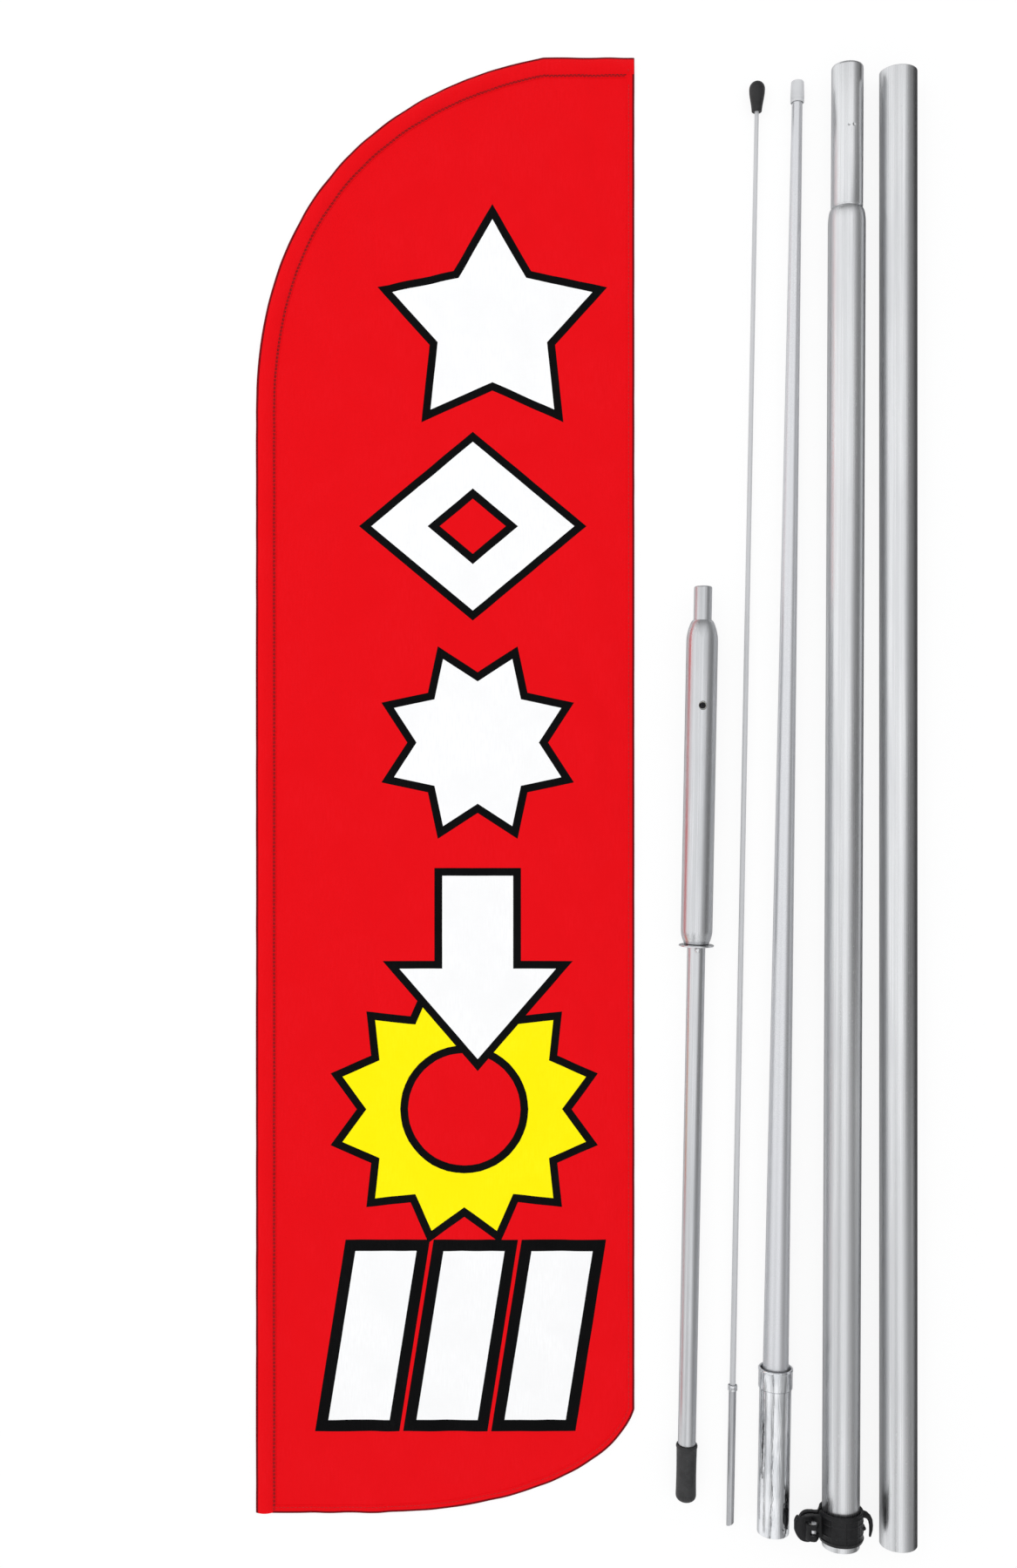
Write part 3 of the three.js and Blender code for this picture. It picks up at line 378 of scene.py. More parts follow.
def moulded_plastic(name, shade, light, rough):
    """Injection-moulded plastic: a fine spark-eroded grain, rubbed lighter on its edges."""
    plastic = Finish(name, Specular_IOR_Level=0.18)
    fine = plastic.use("clouds", Size=0.0005)
    slow = plastic.use("clouds", Size=0.012)
    rubbed = plastic.use("edges", Width=0.06)
    specks = plastic.use("dust", Amount=0.25)
    plastic.colour(
        (None, shade),
        (math_node(plastic.tree, "MULTIPLY", slow, 0.3), light),
        (rubbed, light),
        (specks, linear(150, 148, 144)),
    )
    plastic.rough(rough, (fine, 0.12), (slow, 0.08), (specks, 0.3))
    plastic.relief((fine, 0.00004))
    return plastic.material


def rubber(name, shade, light):
    """Soft dipped vinyl: a dull skin with scuffs and a little dust."""
    skin = Finish(name, Specular_IOR_Level=0.4)
    pores = skin.use("clouds", Size=0.0008)
    slow = skin.use("clouds", Size=0.008)
    marks = skin.use("scuffs", Amount=0.8)
    specks = skin.use("dust", Amount=0.35)
    skin.colour((None, shade), (slow, light), (marks, light), (specks, linear(140, 138, 134)))
    skin.rough(0.42, (pores, 0.15), (slow, 0.1), (specks, 0.3))
    skin.relief((pores, 0.00006), (marks, 0.00003))
    return skin.material


def nylon():
    bush = Finish("turned_nylon", Subsurface_Weight=0.1, Subsurface_Scale=0.002)
    rings = bush.use("lines", Across=60.0, Along=2500.0)
    slow = bush.use("clouds", Size=0.006)
    bush.colour((None, linear(222, 219, 208)), (slow, linear(236, 233, 224)))
    bush.rough(0.45, (rings, 0.15))
    bush.relief((rings, 0.00003))
    return bush.material


def fibreglass():
    rod = Finish("grey_fibreglass", Specular_IOR_Level=0.5, Coat_Weight=0.3, Coat_Roughness=0.2)
    fibres = rod.use("lines", Across=3000.0, Along=8.0)
    slow = rod.use("clouds", Size=0.02, Stretch=10.0)
    rod.colour(
        (None, linear(168, 169, 171)), (fibres, linear(208, 209, 211)),
        (slow, linear(190, 191, 193))
    )
    rod.rough(0.38, (fibres, 0.15))
    rod.relief((fibres, 0.00003))
    return rod.material


INKS = {
    "red": printed_cloth("red_cloth", linear(224, 5, 16), linear(228, 12, 24)),
    "border": printed_cloth("border_cloth", linear(112, 4, 12), linear(124, 8, 18)),
    "white": printed_cloth("white_cloth", linear(242, 242, 242), linear(250, 250, 250)),
    "yellow": printed_cloth("yellow_cloth", linear(247, 234, 2), linear(252, 241, 20)),
    "black": printed_cloth("black_cloth", linear(5, 5, 6), linear(14, 14, 16)),
}
# The seam's thread is real, but its darker red than the cloth is painted shade of the groove the seam
# presses into the cloth.
SEAM_THREAD_WITH_PAINTED_SHADE = sewing_thread("seam_thread_painted_shade", linear(104, 2, 8), linear(140, 6, 12))
HEM_THREAD = sewing_thread("hem_thread", linear(196, 8, 16), linear(214, 14, 24))
WEBBING = webbing()
TUBE_METAL = bare_metal("drawn_aluminium", linear(229, 230, 231), linear(205, 206, 208), 0.2)
STEEL = bare_metal("ground_steel", linear(218, 219, 221), linear(186, 188, 190), 0.22, lines=0.16)
TIP_STEEL = bare_metal("tip_steel", linear(196, 197, 199), linear(160, 161, 164), 0.25)
BRIGHT_STEEL = bare_metal("bright_steel", linear(226, 227, 229), linear(200, 201, 203), 0.14, lines=0.08)
LACQUER = silver_lacquer()
CHROME = bright_chrome()
COLLAR_GREY = moulded_plastic("grey_collar_plastic", linear(196, 197, 199), linear(214, 215, 216), 0.36)
CLAMP_BLACK = moulded_plastic("black_clamp_plastic", linear(22, 22, 23), linear(40, 40, 42), 0.22)
SCREW_BLACK = bare_metal("blackened_screw", linear(52, 52, 54), linear(36, 36, 38), 0.35)
GUARD_RUBBER = rubber("guard_rubber", linear(32, 32, 33), linear(48, 48, 49))
BALL_RUBBER = rubber("ball_rubber", linear(20, 20, 21), linear(36, 36, 37))
NYLON = nylon()
FIBREGLASS = fibreglass()

# ------------------------------------------------------------------ mesh helpers


def made(name, points, faces, materials, matrix=None, angle=38):
    """A mesh object from points in millimetres, smooth but for edges sharper than angle."""
    mesh = bpy.data.meshes.new(name)
    mesh.from_pydata([tuple(c * MM for c in p) for p in points], [], faces)
    for material in materials:
        mesh.materials.append(material)
    mesh.validate()
    mesh.update()
    piece = bpy.data.objects.new(name, mesh)
    bpy.context.scene.collection.objects.link(piece)
    if matrix is not None:
        piece.matrix_world = matrix
    smoothed(piece, angle)
    return piece


def smoothed(piece, angle=38):
    piece.data.shade_smooth()
    piece.data.set_sharp_from_angle(angle=math.radians(angle))


def settled(piece, angle=38):
    """Applies a piece's modifiers."""
    graph = bpy.context.evaluated_depsgraph_get()
    mesh = bpy.data.meshes.new_from_object(piece.evaluated_get(graph))
    piece.modifiers.clear()
    piece.data = mesh
    smoothed(piece, angle)
    return piece


def thickened(piece, depth, angle, offset):
    """The sheet given a thickness: about its middle at an offset of 0, and inwards at -1."""
    shell = piece.modifiers.new("thickness", "SOLIDIFY")
    shell.thickness = depth * MM
    shell.offset = offset
    return settled(piece, angle)


def grid_faces(rows, columns):
    """Four-sided faces over a grid of points."""
    return [
        (r * columns + c, r * columns + c + 1, (r + 1) * columns + c + 1, (r + 1) * columns + c)
        for r in range(rows - 1)
        for c in range(columns - 1)
    ]


def cut(piece, cutter):
    boolean = piece.modifiers.new("cut", "BOOLEAN")
    boolean.object = cutter
    boolean.solver = "EXACT"
    settled(piece)
    bpy.data.objects.remove(cutter)
    return piece


def eased(profile, radius, steps=4):
    """A closed profile with each corner off the axis rounded by up to radius."""
    rounded = []
    count = len(profile)
    for place, corner in enumerate(profile):
        here = Vector(corner)
        before = Vector(profile[place - 1]) - here
        after = Vector(profile[(place + 1) % count]) - here
        reach = min(before.length, after.length) * 0.45
        half = before.angle(after) / 2
        if here.x < 1e-6 or half > 1.5:
            rounded.append(corner)
            continue
        back = min(radius / math.tan(half), reach)
        start = here + before.normalized() * back
        end = here + after.normalized() * back
        for step in range(steps + 1):
            t = step / steps
            bend = start * (1 - t) ** 2 + here * 2 * t * (1 - t) + end * t * t
            rounded.append((bend.x, bend.y))
    return rounded


def plain_ring(bore, skin, low, high, edge, steps=4):
    """The profile of a plain tube or washer with its four edges eased."""
    return eased([(bore, low), (skin, low), (skin, high), (bore, high)], edge, steps)


def turned(name, profile, material, matrix, sides=ROUND, angle=38):
    """A round piece about local Y from a closed profile of (radius, height)."""
    points, faces, rings = [], [], []
    for radius, height in profile:
        if radius < 1e-6:
            rings.append([len(points)])
            points.append((0, height, 0))
            continue
        rings.append(list(range(len(points), len(points) + sides)))
        for side in range(sides):
            turn = 2 * math.pi * side / sides
            points.append((radius * math.cos(turn), height, radius * math.sin(turn)))
    area = sum(
        a[0] * b[1] - b[0] * a[1] for a, b in zip(profile, profile[1:] + profile[:1])
    )
    for low, high in zip(rings, rings[1:] + rings[:1]):
        if len(low) == 1 and len(high) == 1:
            continue
        for side in range(sides):
            far = (side + 1) % sides
            near_side = [low[side % len(low)], high[side % len(high)]]
            corners = near_side + [high[far % len(high)], low[far % len(low)]]
            face = list(dict.fromkeys(corners))
            faces.append(face if area > 0 else face[::-1])
    return made(name, points, faces, [material], matrix, angle)


def kept(piece, body, slot, *nodes):
    """The piece rides on its body, in place of its plain nodes."""
    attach(piece, body)
    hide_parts(*nodes)
    return piece


class Section:
    """A round section's own frame, from the frame's pieces: Y runs up its axis, Z is upwards."""

    def __init__(self, core, foot=None):
        points = self.points_of(core)
        middle = points.mean(axis=0)
        spread = points - middle
        axis = Vector(np.linalg.eigh(spread.T @ spread)[1][:, -1])
        if max(axis, key=abs) < 0:
            axis = -axis
        side = UP if abs(axis.z) < 0.7 else Vector((0, 1, 0))
        across = axis.cross(side).normalized()
        upward = across.cross(axis)
        turn = Matrix((across, axis, upward)).transposed().to_4x4()
        self.matrix = Matrix.Translation(Vector(middle)) @ turn
        low = self.span(foot or core)[0]
        self.matrix = self.matrix @ Matrix.Translation((0, low * MM, 0))

    @staticmethod
    def points_of(node):
        return np.array([v.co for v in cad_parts[node].data.vertices], float)

    def local(self, node):
        """The node's corners in this frame, in millimetres."""
        inverse = np.array(self.matrix.inverted())
        points = self.points_of(node)
        return (points @ inverse[:3, :3].T + inverse[:3, 3]) / MM

    def span(self, node):
        heights = self.local(node)[:, 1]
        return float(heights.min()), float(heights.max())

    def reach(self, node):
        points = self.local(node)
        return float(np.hypot(points[:, 0], points[:, 2]).max())

    def rim(self, node, height, near=0.1):
        """(smallest, largest) radius of the node's corners at a height."""
        points = self.local(node)
        ring = points[np.abs(points[:, 1] - height) < near]
        radii = np.hypot(ring[:, 0], ring[:, 2])
        return float(radii.min()), float(radii.max())

    def crossing(self, height):
        """A frame whose Y points straight up out of the section at a height."""
        return self.matrix @ Matrix.Translation((0, height * MM, 0)) @ Matrix.Rotation(QUARTER, 4, "X")

    def fit(self, name, profile, material, body, slot, node, **roundness):
        """A turned piece in this frame, in place of its plain node."""
        return kept(turned(name, profile, material, self.matrix, **roundness), body, slot, node)


# ------------------------------------------------------------------ flag

# Cut of the flag in millimetres from its lower corner on the pole edge: X runs to the free
# edge and Y to the top. Its width and height are the frame's.
PANEL_LOW, PANEL_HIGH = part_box("flag_panel")
FLAG_WIDTH = (PANEL_HIGH[0] - PANEL_LOW[0]) / MM
FLAG_HEIGHT = (PANEL_HIGH[1] - PANEL_LOW[1]) / MM
SLEEVE_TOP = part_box("pole_sleeve")[1][2] / MM
SHOULDER_DROP = 289
SHOULDER_PULL = 191
TOP_FLAT = 74.5
TOP_PULL = 115
TOP_ANGLE = math.radians(10.6)
TAIL_RISE = 85
TAIL_FLAT = 88
TAIL_DROP_PULL = 41
TAIL_DROP_ANGLE = math.radians(73)
TAIL_PULL = 141
CLOTH_STEP = 5
CLOTH_THICK = 0.45
STRIP_THICK = 0.35
LINE_STEP = 4  # between the cross-sections of a strip
CLOTH_LIFT = 0.5  # the cloth's middle over the floor
RIPPLE_CAP = 1.5
SEAM_IN = 14.6  # the sleeve's seam from the pole edge
SEAM_FLANGE = 1.6
SEAM_TWIN = 1.0  # between the seam's two rows of stitches
HEM_WIDTH = 6
HEM_SEAM = 4.6
STITCH = 2.7
STITCH_GAP = 0.45
THREAD_RADIUS = 0.32
ART_LINE = 6.4  # the black line round each printed shape
FLAG_PLACE = Matrix.Translation((PANEL_LOW[0], PANEL_LOW[1], 0))


def curve_points(a, b, c, d, steps=60):
    """Points of a cubic curve with its ends at a and d."""
    t = np.linspace(0, 1, steps + 1)[:, None]
    a, b, c, d = (np.array(p, float) for p in (a, b, c, d))
    return a * (1 - t) ** 3 + 3 * b * t * (1 - t) ** 2 + 3 * c * t * t * (1 - t) + d * t**3


def paced(points, step, closed=False):
    """The line through points, with new points a step apart."""
    points = np.array(points, float)
    if closed:
        points = np.vstack([points, points[:1]])
    found = [points[:1]]
    for a, b in zip(points, points[1:]):
        count = max(1, int(round(np.linalg.norm(b - a) / step)))
        found.append(a + (b - a) * (np.arange(1, count + 1) / count)[:, None])
    line = np.vstack(found)
    return line[:-1] if closed else line


def along(points, spacing):
    """Points at exactly even spacing along a line, with the line's direction at each."""
    points = np.array(points, float)
    lengths = np.concatenate([[0], np.cumsum(np.linalg.norm(np.diff(points, axis=0), axis=1))])
    stops = np.arange(0, lengths[-1], spacing)
    places = np.column_stack([np.interp(stops, lengths, points[:, k]) for k in (0, 1)])
    ahead = np.column_stack([np.interp(stops + 0.5, lengths, points[:, k]) for k in (0, 1)])
    behind = np.column_stack([np.interp(stops - 0.5, lengths, points[:, k]) for k in (0, 1)])
    ways = ahead - behind
    return places, ways / np.linalg.norm(ways, axis=1)[:, None]


def pole_edge():
    """The straight pole edge and the arched top, up to the free edge."""
    turn = FLAG_HEIGHT - SHOULDER_DROP
    level = FLAG_WIDTH - TOP_FLAT
    arch = curve_points(
        (0, turn),
        (0, turn + SHOULDER_PULL),
        (level - TOP_PULL * math.cos(TOP_ANGLE), FLAG_HEIGHT - TOP_PULL * math.sin(TOP_ANGLE)),
        (level, FLAG_HEIGHT),
    )
    return np.vstack([[(0, 0)], arch, [(FLAG_WIDTH, FLAG_HEIGHT)]])


def free_edge():
    """The free edge, the rounded tail and the bottom, back to the pole edge."""
    tail = curve_points(
        (FLAG_WIDTH, TAIL_RISE),
        (
            FLAG_WIDTH - TAIL_DROP_PULL * math.cos(TAIL_DROP_ANGLE),
            TAIL_RISE - TAIL_DROP_PULL * math.sin(TAIL_DROP_ANGLE),
        ),
        (TAIL_FLAT + TAIL_PULL, 0),
        (TAIL_FLAT, 0),
    )
    return np.vstack([[(FLAG_WIDTH, FLAG_HEIGHT)], tail, [(0, 0)]])


def inwards(line, distance):
    """The line moved sideways, to the right of the way it runs."""
    ways = np.gradient(line, axis=0)
    ways /= np.linalg.norm(ways, axis=1)[:, None]
    return line + np.column_stack([ways[:, 1], -ways[:, 0]]) * distance


def inside(points, outline):
    """Which points lie inside a closed outline."""
    x, y = points[:, 0], points[:, 1]
    within = np.zeros(len(points), bool)
    for (ax, ay), (bx, by) in zip(outline, np.roll(outline, -1, axis=0)):
        if ay == by:
            continue
        crosses = (ay > y) != (by > y)
        within ^= crosses & (x < (bx - ax) * (y - ay) / (by - ay) + ax)
    return within


def area_of(outline):
    x, y = outline[:, 0], outline[:, 1]
    return abs(float(np.sum(x * np.roll(y, -1) - y * np.roll(x, -1)))) / 2


# ---- printed shapes: plain figures of the same size and places down the flag


def star(centre, outer, inner, points, turn=QUARTER):
    radii = (outer, inner)
    angles = [turn + math.pi * k / points for k in range(2 * points)]
    return np.array(
        [
            (centre[0] + radii[k % 2] * math.cos(a), centre[1] + radii[k % 2] * math.sin(a))
            for k, a in enumerate(angles)
        ]
    )


def lozenge(centre, width, height):
    x, y = centre
    return np.array([(x + width / 2, y), (x, y + height / 2), (x - width / 2, y), (x, y - height / 2)])


def down_arrow(centre, width, height, stem, head):
    x, y = centre
    top, low = y + height / 2, y - height / 2
    return np.array(
        [
            (x - stem / 2, top),
            (x - stem / 2, low + head),
            (x - width / 2, low + head),
            (x, low),
            (x + width / 2, low + head),
            (x + stem / 2, low + head),
            (x + stem / 2, top),
        ]
    )


def slanted_bar(centre, width, height, lean):
    x, y = centre
    return np.array(
        [
            (x - width / 2 - lean, y - height / 2),
            (x + width / 2 - lean, y - height / 2),
            (x + width / 2 + lean, y + height / 2),
            (x - width / 2 + lean, y + height / 2),
        ]
    )


def grown(shape, by):
    """The outline moved outwards all round, with sharp corners kept but not drawn out far."""
    if np.sum(shape[:, 0] * np.roll(shape[:, 1], -1) - shape[:, 1] * np.roll(shape[:, 0], -1)) < 0:
        shape = shape[::-1]
    corners = []
    for place, here in enumerate(shape):
        before = here - shape[place - 1]
        after = shape[(place + 1) % len(shape)] - here
        sides = [np.array((way[1], -way[0])) / np.linalg.norm(way) for way in (before, after)]
        middle = sides[0] + sides[1]
        mitre = middle / max(0.35, float(middle @ middle) / 2) * by
        corners.append(here + mitre)
    return np.array(corners)


def printed_shapes():
    """Each printed shape with its ink, in the order it is laid down."""
    shapes = []

    def outlined(shape, ink):
        shapes.append((grown(shape, ART_LINE), "black"))
        shapes.append((shape, ink))

    outlined(star((193, 972), 86, 47, 5), "white")
    diamond = (177, 807)
    outlined(lozenge(diamond, 166, 138), "white")
    shapes.append((lozenge(diamond, 74, 62), "black"))
    shapes.append((lozenge(diamond, 54, 45), "red"))
    outlined(star((181, 630), 74, 50, 8, turn=math.pi / 8), "white")
    outlined(star((170, 330), 103, 80, 12, turn=math.pi / 12), "yellow")
    outlined(star((170, 330), 46, 45.9, 24), "red")
    outlined(down_arrow((181, 446), 128, 150, 58, 74), "white")
    bars = [slanted_bar((167 + side * 72, 145), 50, 138, 11) for side in (-1, 0, 1)]
    for bar in bars:
        shapes.append((grown(bar, ART_LINE + 3), "black"))
    for bar in bars:
        shapes.append((bar, "white"))
    return shapes


# ---- how the cloth lies

RIPPLE_GRID = 12  # spacing of the settled sheet
SETTLE_FRAMES = 26
FALL = 3.0
CLOTH_SETTINGS = {
    "quality": 6,
    "mass": 0.05,
    "tension_stiffness": 30,
    "compression_stiffness": 30,
    "shear_stiffness": 12,
    "bending_stiffness": 0.4,
    "air_damping": 2,
}


def first_ripples(x, y):
    """Low folds of many lengths, from how the flag was rolled up."""
    chance = random.Random(7)
    heights = np.zeros_like(x, dtype=float)
    for _ in range(16):
        length = chance.uniform(70, 260)
        way = chance.gauss(0.15, 0.5)
        phase = chance.uniform(0, 2 * math.pi)
        size = chance.uniform(0.4, 1.0) * length / 170
        heights += size * np.sin((x * math.cos(way) + y * math.sin(way)) * 2 * math.pi / length + phase)
    return heights


def settled_heights():
    """A plain sheet of the flag's size sinks on to the floor; gives its heights on a grid."""
    across = np.arange(-RIPPLE_GRID, FLAG_WIDTH + 2 * RIPPLE_GRID, RIPPLE_GRID)
    up = np.arange(-RIPPLE_GRID, FLAG_HEIGHT + 2 * RIPPLE_GRID, RIPPLE_GRID)
    x, y = np.meshgrid(across, up)
    start = first_ripples(x, y)
    start -= start.min()
    columns, rows = len(across), len(up)
    points = np.column_stack([x.ravel(), y.ravel(), start.ravel() + FALL])
    sheet = made("settling_sheet", points, grid_faces(rows, columns), [])
    corners = [(-400, -400, 0), (900, -400, 0), (900, 1800, 0), (-400, 1800, 0)]
    ground = made("settling_ground", corners, [(0, 1, 2, 3)], [])
    ground.modifiers.new("collision", "COLLISION")
    ground.collision.thickness_outer = 0.0005
    ground.collision.cloth_friction = 30
    cloth = sheet.modifiers.new("cloth", "CLOTH")
    for setting, value in CLOTH_SETTINGS.items():
        setattr(cloth.settings, setting, value)
    cloth.collision_settings.distance_min = 0.0008
    cloth.collision_settings.collision_quality = 3
    cloth.point_cache.frame_end = SETTLE_FRAMES
    scene = bpy.context.scene
    for step in range(1, SETTLE_FRAMES + 1):
        scene.frame_set(step)
    graph = bpy.context.evaluated_depsgraph_get()
    heights = np.array([v.co.z for v in sheet.evaluated_get(graph).data.vertices]) / MM
    bpy.data.objects.remove(sheet)
    bpy.data.objects.remove(ground)
    scene.frame_set(1)
    heights = heights.reshape(rows, columns)
    return across, up, heights - heights.min()


ACROSS, UPWARDS, HEIGHTS = settled_heights()


def lie(x, y):
    """The settled cloth's height at any place, as a smooth surface through the grid."""
    x, y = np.asarray(x, float), np.asarray(y, float)

    def taps(value, first):
        place = (value - first) / RIPPLE_GRID
        whole = np.floor(place).astype(int)
        t = place - whole
        weights = (
            -0.5 * t + t**2 - 0.5 * t**3,
            1 - 2.5 * t**2 + 1.5 * t**3,
            0.5 * t + 2 * t**2 - 1.5 * t**3,
            -0.5 * t**2 + 0.5 * t**3,
        )
        return whole, weights

    column, across = taps(x, ACROSS[0])
    row, upwards = taps(y, UPWARDS[0])
    height = np.zeros_like(x)
    for i, row_weight in enumerate(upwards):
        rows = np.clip(row + i - 1, 0, HEIGHTS.shape[0] - 1)
        for j, column_weight in enumerate(across):
            columns = np.clip(column + j - 1, 0, HEIGHTS.shape[1] - 1)
            height += row_weight * column_weight * HEIGHTS[rows, columns]
    return RIPPLE_CAP * np.tanh(np.maximum(height, 0) / RIPPLE_CAP)


def cloth_points(outline, loops):
    """An even grid of points inside the outline that keeps clear of every loop."""
    near = [p for loop in [outline, *loops] for p in loop]
    tree = kdtree.KDTree(len(near))
    for place, point in enumerate(near):
        tree.insert((point[0], point[1], 0), place)
    tree.balance()
    x, y = np.meshgrid(np.arange(0, FLAG_WIDTH, CLOTH_STEP), np.arange(0, FLAG_HEIGHT, CLOTH_STEP))
    grid = np.column_stack([x.ravel(), y.ravel()])
    grid = grid[inside(grid, outline)]
    return [p for p in grid if tree.find((p[0], p[1], 0))[2] > CLOTH_STEP * 0.45]


def make_cloth():
    """The whole panel, with the printed shapes dyed into it."""
    art = printed_shapes()
    outline = paced(np.vstack([pole_edge(), free_edge()[1:-1]]), CLOTH_STEP, closed=True)
    loops = [paced(shape, CLOTH_STEP, closed=True) for shape, _ in art]
    points, edges = [], []
    for loop in [outline, *loops]:
        first, count = len(points), len(loop)
        points.extend(loop)
        edges.extend((first + k, first + (k + 1) % count) for k in range(count))
    points.extend(cloth_points(outline, loops))
    flat, _, faces, *_ = delaunay_2d_cdt([Vector(p) for p in points], edges, [], 0, 1e-4)
    flat = np.array([tuple(p) for p in flat])
    faces = [f for f in faces if len(f) == 3]
    centres = np.array([flat[list(f)].mean(axis=0) for f in faces])
    shown = inside(centres, outline)
    faces = [f for f, keep in zip(faces, shown) if keep]
    centres = centres[shown]
    names = list(INKS)
    ink = np.full(len(faces), names.index("red"))
    for shape, tone in art:
        ink[inside(centres, shape)] = names.index(tone)
    heights = lie(flat[:, 0], flat[:, 1]) + CLOTH_LIFT
    solid = np.column_stack([flat, heights])
    cloth = made("flag_cloth", solid, faces, list(INKS.values()), FLAG_PLACE, angle=80)
    cloth.data.polygons.foreach_set("material_index", ink.astype(np.int32))
    thickened(cloth, CLOTH_THICK, 60, 0)
    kept(cloth, "flag", "flag_cloth", "flag_panel")
    return cloth, area_of(outline)


def swept_strip(name, line, section, border, pucker):
    """A strip of cloth: each (inwards, up) of section carried along a line on the panel.

    The first few faces across it, round its folded edge, as many as border says, are dark red.
    """
    chance = random.Random(len(line))
    ways = np.gradient(line, axis=0)
    ways /= np.linalg.norm(ways, axis=1)[:, None]
    sideways = np.column_stack([ways[:, 1], -ways[:, 0]])
    tops = max(up for _, up in section)
    drift = np.array([chance.gauss(0, 1) for _ in line])
    slow = np.convolve(drift, np.hanning(19) / np.hanning(19).sum() * 3, mode="same")
    rows = []
    for across, up in section:
        place = line + sideways * across
        ground = lie(place[:, 0], place[:, 1]) + CLOTH_LIFT
        swell = 1 + pucker * slow * (up / tops)
        rows.append(np.column_stack([place, ground + up * swell]))
    points = np.stack(rows, axis=1).reshape(-1, 3)
    count = len(section)
    faces = [face[::-1] for face in grid_faces(len(line), count)]
    strip = made(name, points, faces, [INKS["red"], INKS["border"]], FLAG_PLACE, angle=70)
    for place, face in enumerate(strip.data.polygons):
        face.material_index = int(place % (count - 1) < border)
    return thickened(strip, STRIP_THICK, 70, 0)


def make_sleeve():
    """The pole's sleeve: folded over at the edge, arched, and sewn down along its seam."""
    rise = SLEEVE_TOP - CLOTH_LIFT - 0.3
    steps = 16
    section = [(0.9, 0.1), (0.2, 0.25), (-0.1, 0.6), (0.15, 0.95)]
    start, crest = section[-1], rise
    for step in range(1, steps + 1):
        share = step / steps
        across = start[0] + (SEAM_IN - 0.6 - start[0]) * share
        base = start[1] + (0.45 - start[1]) * share
        section.append((across, base + (crest - 0.7) * math.sin(math.pi * share) ** 0.8))
    section.append((SEAM_IN, 0.42))
    section.append((SEAM_IN + SEAM_FLANGE, 0.45))
    line = paced(pole_edge(), LINE_STEP)
    line[0] += (0, 0.4)
    line[-1] -= (0.4, 0)
    strip = kept(
        swept_strip("pole_sleeve_cloth", line, section, 5, 0.16), "flag", "flag_cloth",
        "pole_sleeve"
    )
    return strip, float(np.linalg.norm(np.diff(line, axis=0), axis=1).sum())


def make_hem():
    """The narrow turned hem down the free edge and round the tail."""
    line = paced(free_edge(), LINE_STEP)[:-1]
    section = [(0.4, 0.05), (0.0, 0.3), (0.2, 0.6), (1.7, 0.72), (HEM_SEAM - 0.8, 0.7), (HEM_SEAM, 0.5)]
    section += [(HEM_SEAM + 0.6, 0.62), (HEM_WIDTH, 0.5), (HEM_WIDTH + 0.15, 0.2)]
    return kept(swept_strip("edge_hem", line, section, 3, 0.05), "flag", "flag_cloth")


def make_stitches(name, lines, height, thread):
    """Rows of short sewn threads that dip into the cloth at both ends."""
    stops = []
    for line in lines:
        places, ways = along(line, STITCH + STITCH_GAP)
        stops += list(zip(places[1:-1], ways[1:-1]))
    steps, sides = 5, 6
    points, faces = [], []
    for (x, y), (dx, dy) in stops:
        ground = float(lie(x, y)) + CLOTH_LIFT + height
        first = len(points)
        for step in range(steps):
            share = step / (steps - 1)
            ahead = (share - 0.5) * STITCH
            lift = 0.28 * math.sin(math.pi * share) - 0.12
            thick = THREAD_RADIUS * (0.55 + 0.45 * math.sin(math.pi * share))
            for side in range(sides):
                angle = 2 * math.pi * side / sides
                out = thick * math.cos(angle)
                points.append(
                    (
                        x + dx * ahead - dy * out, y + dy * ahead + dx * out,
                        ground + lift + thick * math.sin(angle)
                    )
                )
        for step in range(steps - 1):
            for side in range(sides):
                far = (side + 1) % sides
                a, b = first + step * sides, first + (step + 1) * sides
                faces.append((a + side, a + far, b + far, b + side))
        faces.append(tuple(first + side for side in range(sides))[::-1])
        faces.append(tuple(first + (steps - 1) * sides + side for side in range(sides)))
    row = made(name, points, faces, [thread], FLAG_PLACE, angle=70)
    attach(row, "flag")
    return row


def make_pocket():
    """The stiff patch of webbing inside the sleeve's closed end."""
    low, high = (np.array(c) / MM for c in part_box("tip_pocket"))
    low, high = low - np.array(PANEL_LOW) / MM, high - np.array(PANEL_LOW) / MM
    columns, rows = 28, 8
    points = []
    for row in range(rows + 1):
        for column in range(columns + 1):
            x = low[0] + (high[0] - low[0]) * column / columns
            y = low[1] + (high[1] - low[1]) * row / rows
            edge = min(row, rows - row) / rows
            points.append((x, y, low[2] + 0.35 + 0.25 * min(1, 3 * edge)))
    faces = grid_faces(rows + 1, columns + 1)
    patch = made("tip_pocket_webbing", points, faces, [WEBBING], FLAG_PLACE, angle=60)
    return kept(thickened(patch, 0.5, 38, -1), "flag", "pocket_patch", "tip_pocket")


def make_flag():
    cloth, area = make_cloth()
    sleeve, length = make_sleeve()
    hem = make_hem()
    pocket = make_pocket()
    edge = paced(pole_edge(), LINE_STEP)
    seams = [inwards(edge, SEAM_IN + side) for side in (-SEAM_TWIN / 2, SEAM_TWIN / 2)]
    seams = [seam[seam[:, 0] < FLAG_WIDTH - 1] for seam in seams]
    edge_line = inwards(paced(free_edge(), LINE_STEP)[5:-2], HEM_SEAM)
    closing = np.array([(FLAG_WIDTH - 5, FLAG_HEIGHT - 1.5), (FLAG_WIDTH - 5, FLAG_HEIGHT - SEAM_IN)])
    threads = [
        make_stitches("sleeve_stitches", seams, 0.75, SEAM_THREAD_WITH_PAINTED_SHADE),
        make_stitches("hem_stitches", [edge_line], 0.8, HEM_THREAD),
        make_stitches("sleeve_end_stitches", [paced(closing, 2)], 2.2, HEM_THREAD),
    ]


# ------------------------------------------------------------------ large tubes

EDGE = 0.45  # easing of a cut tube's edges


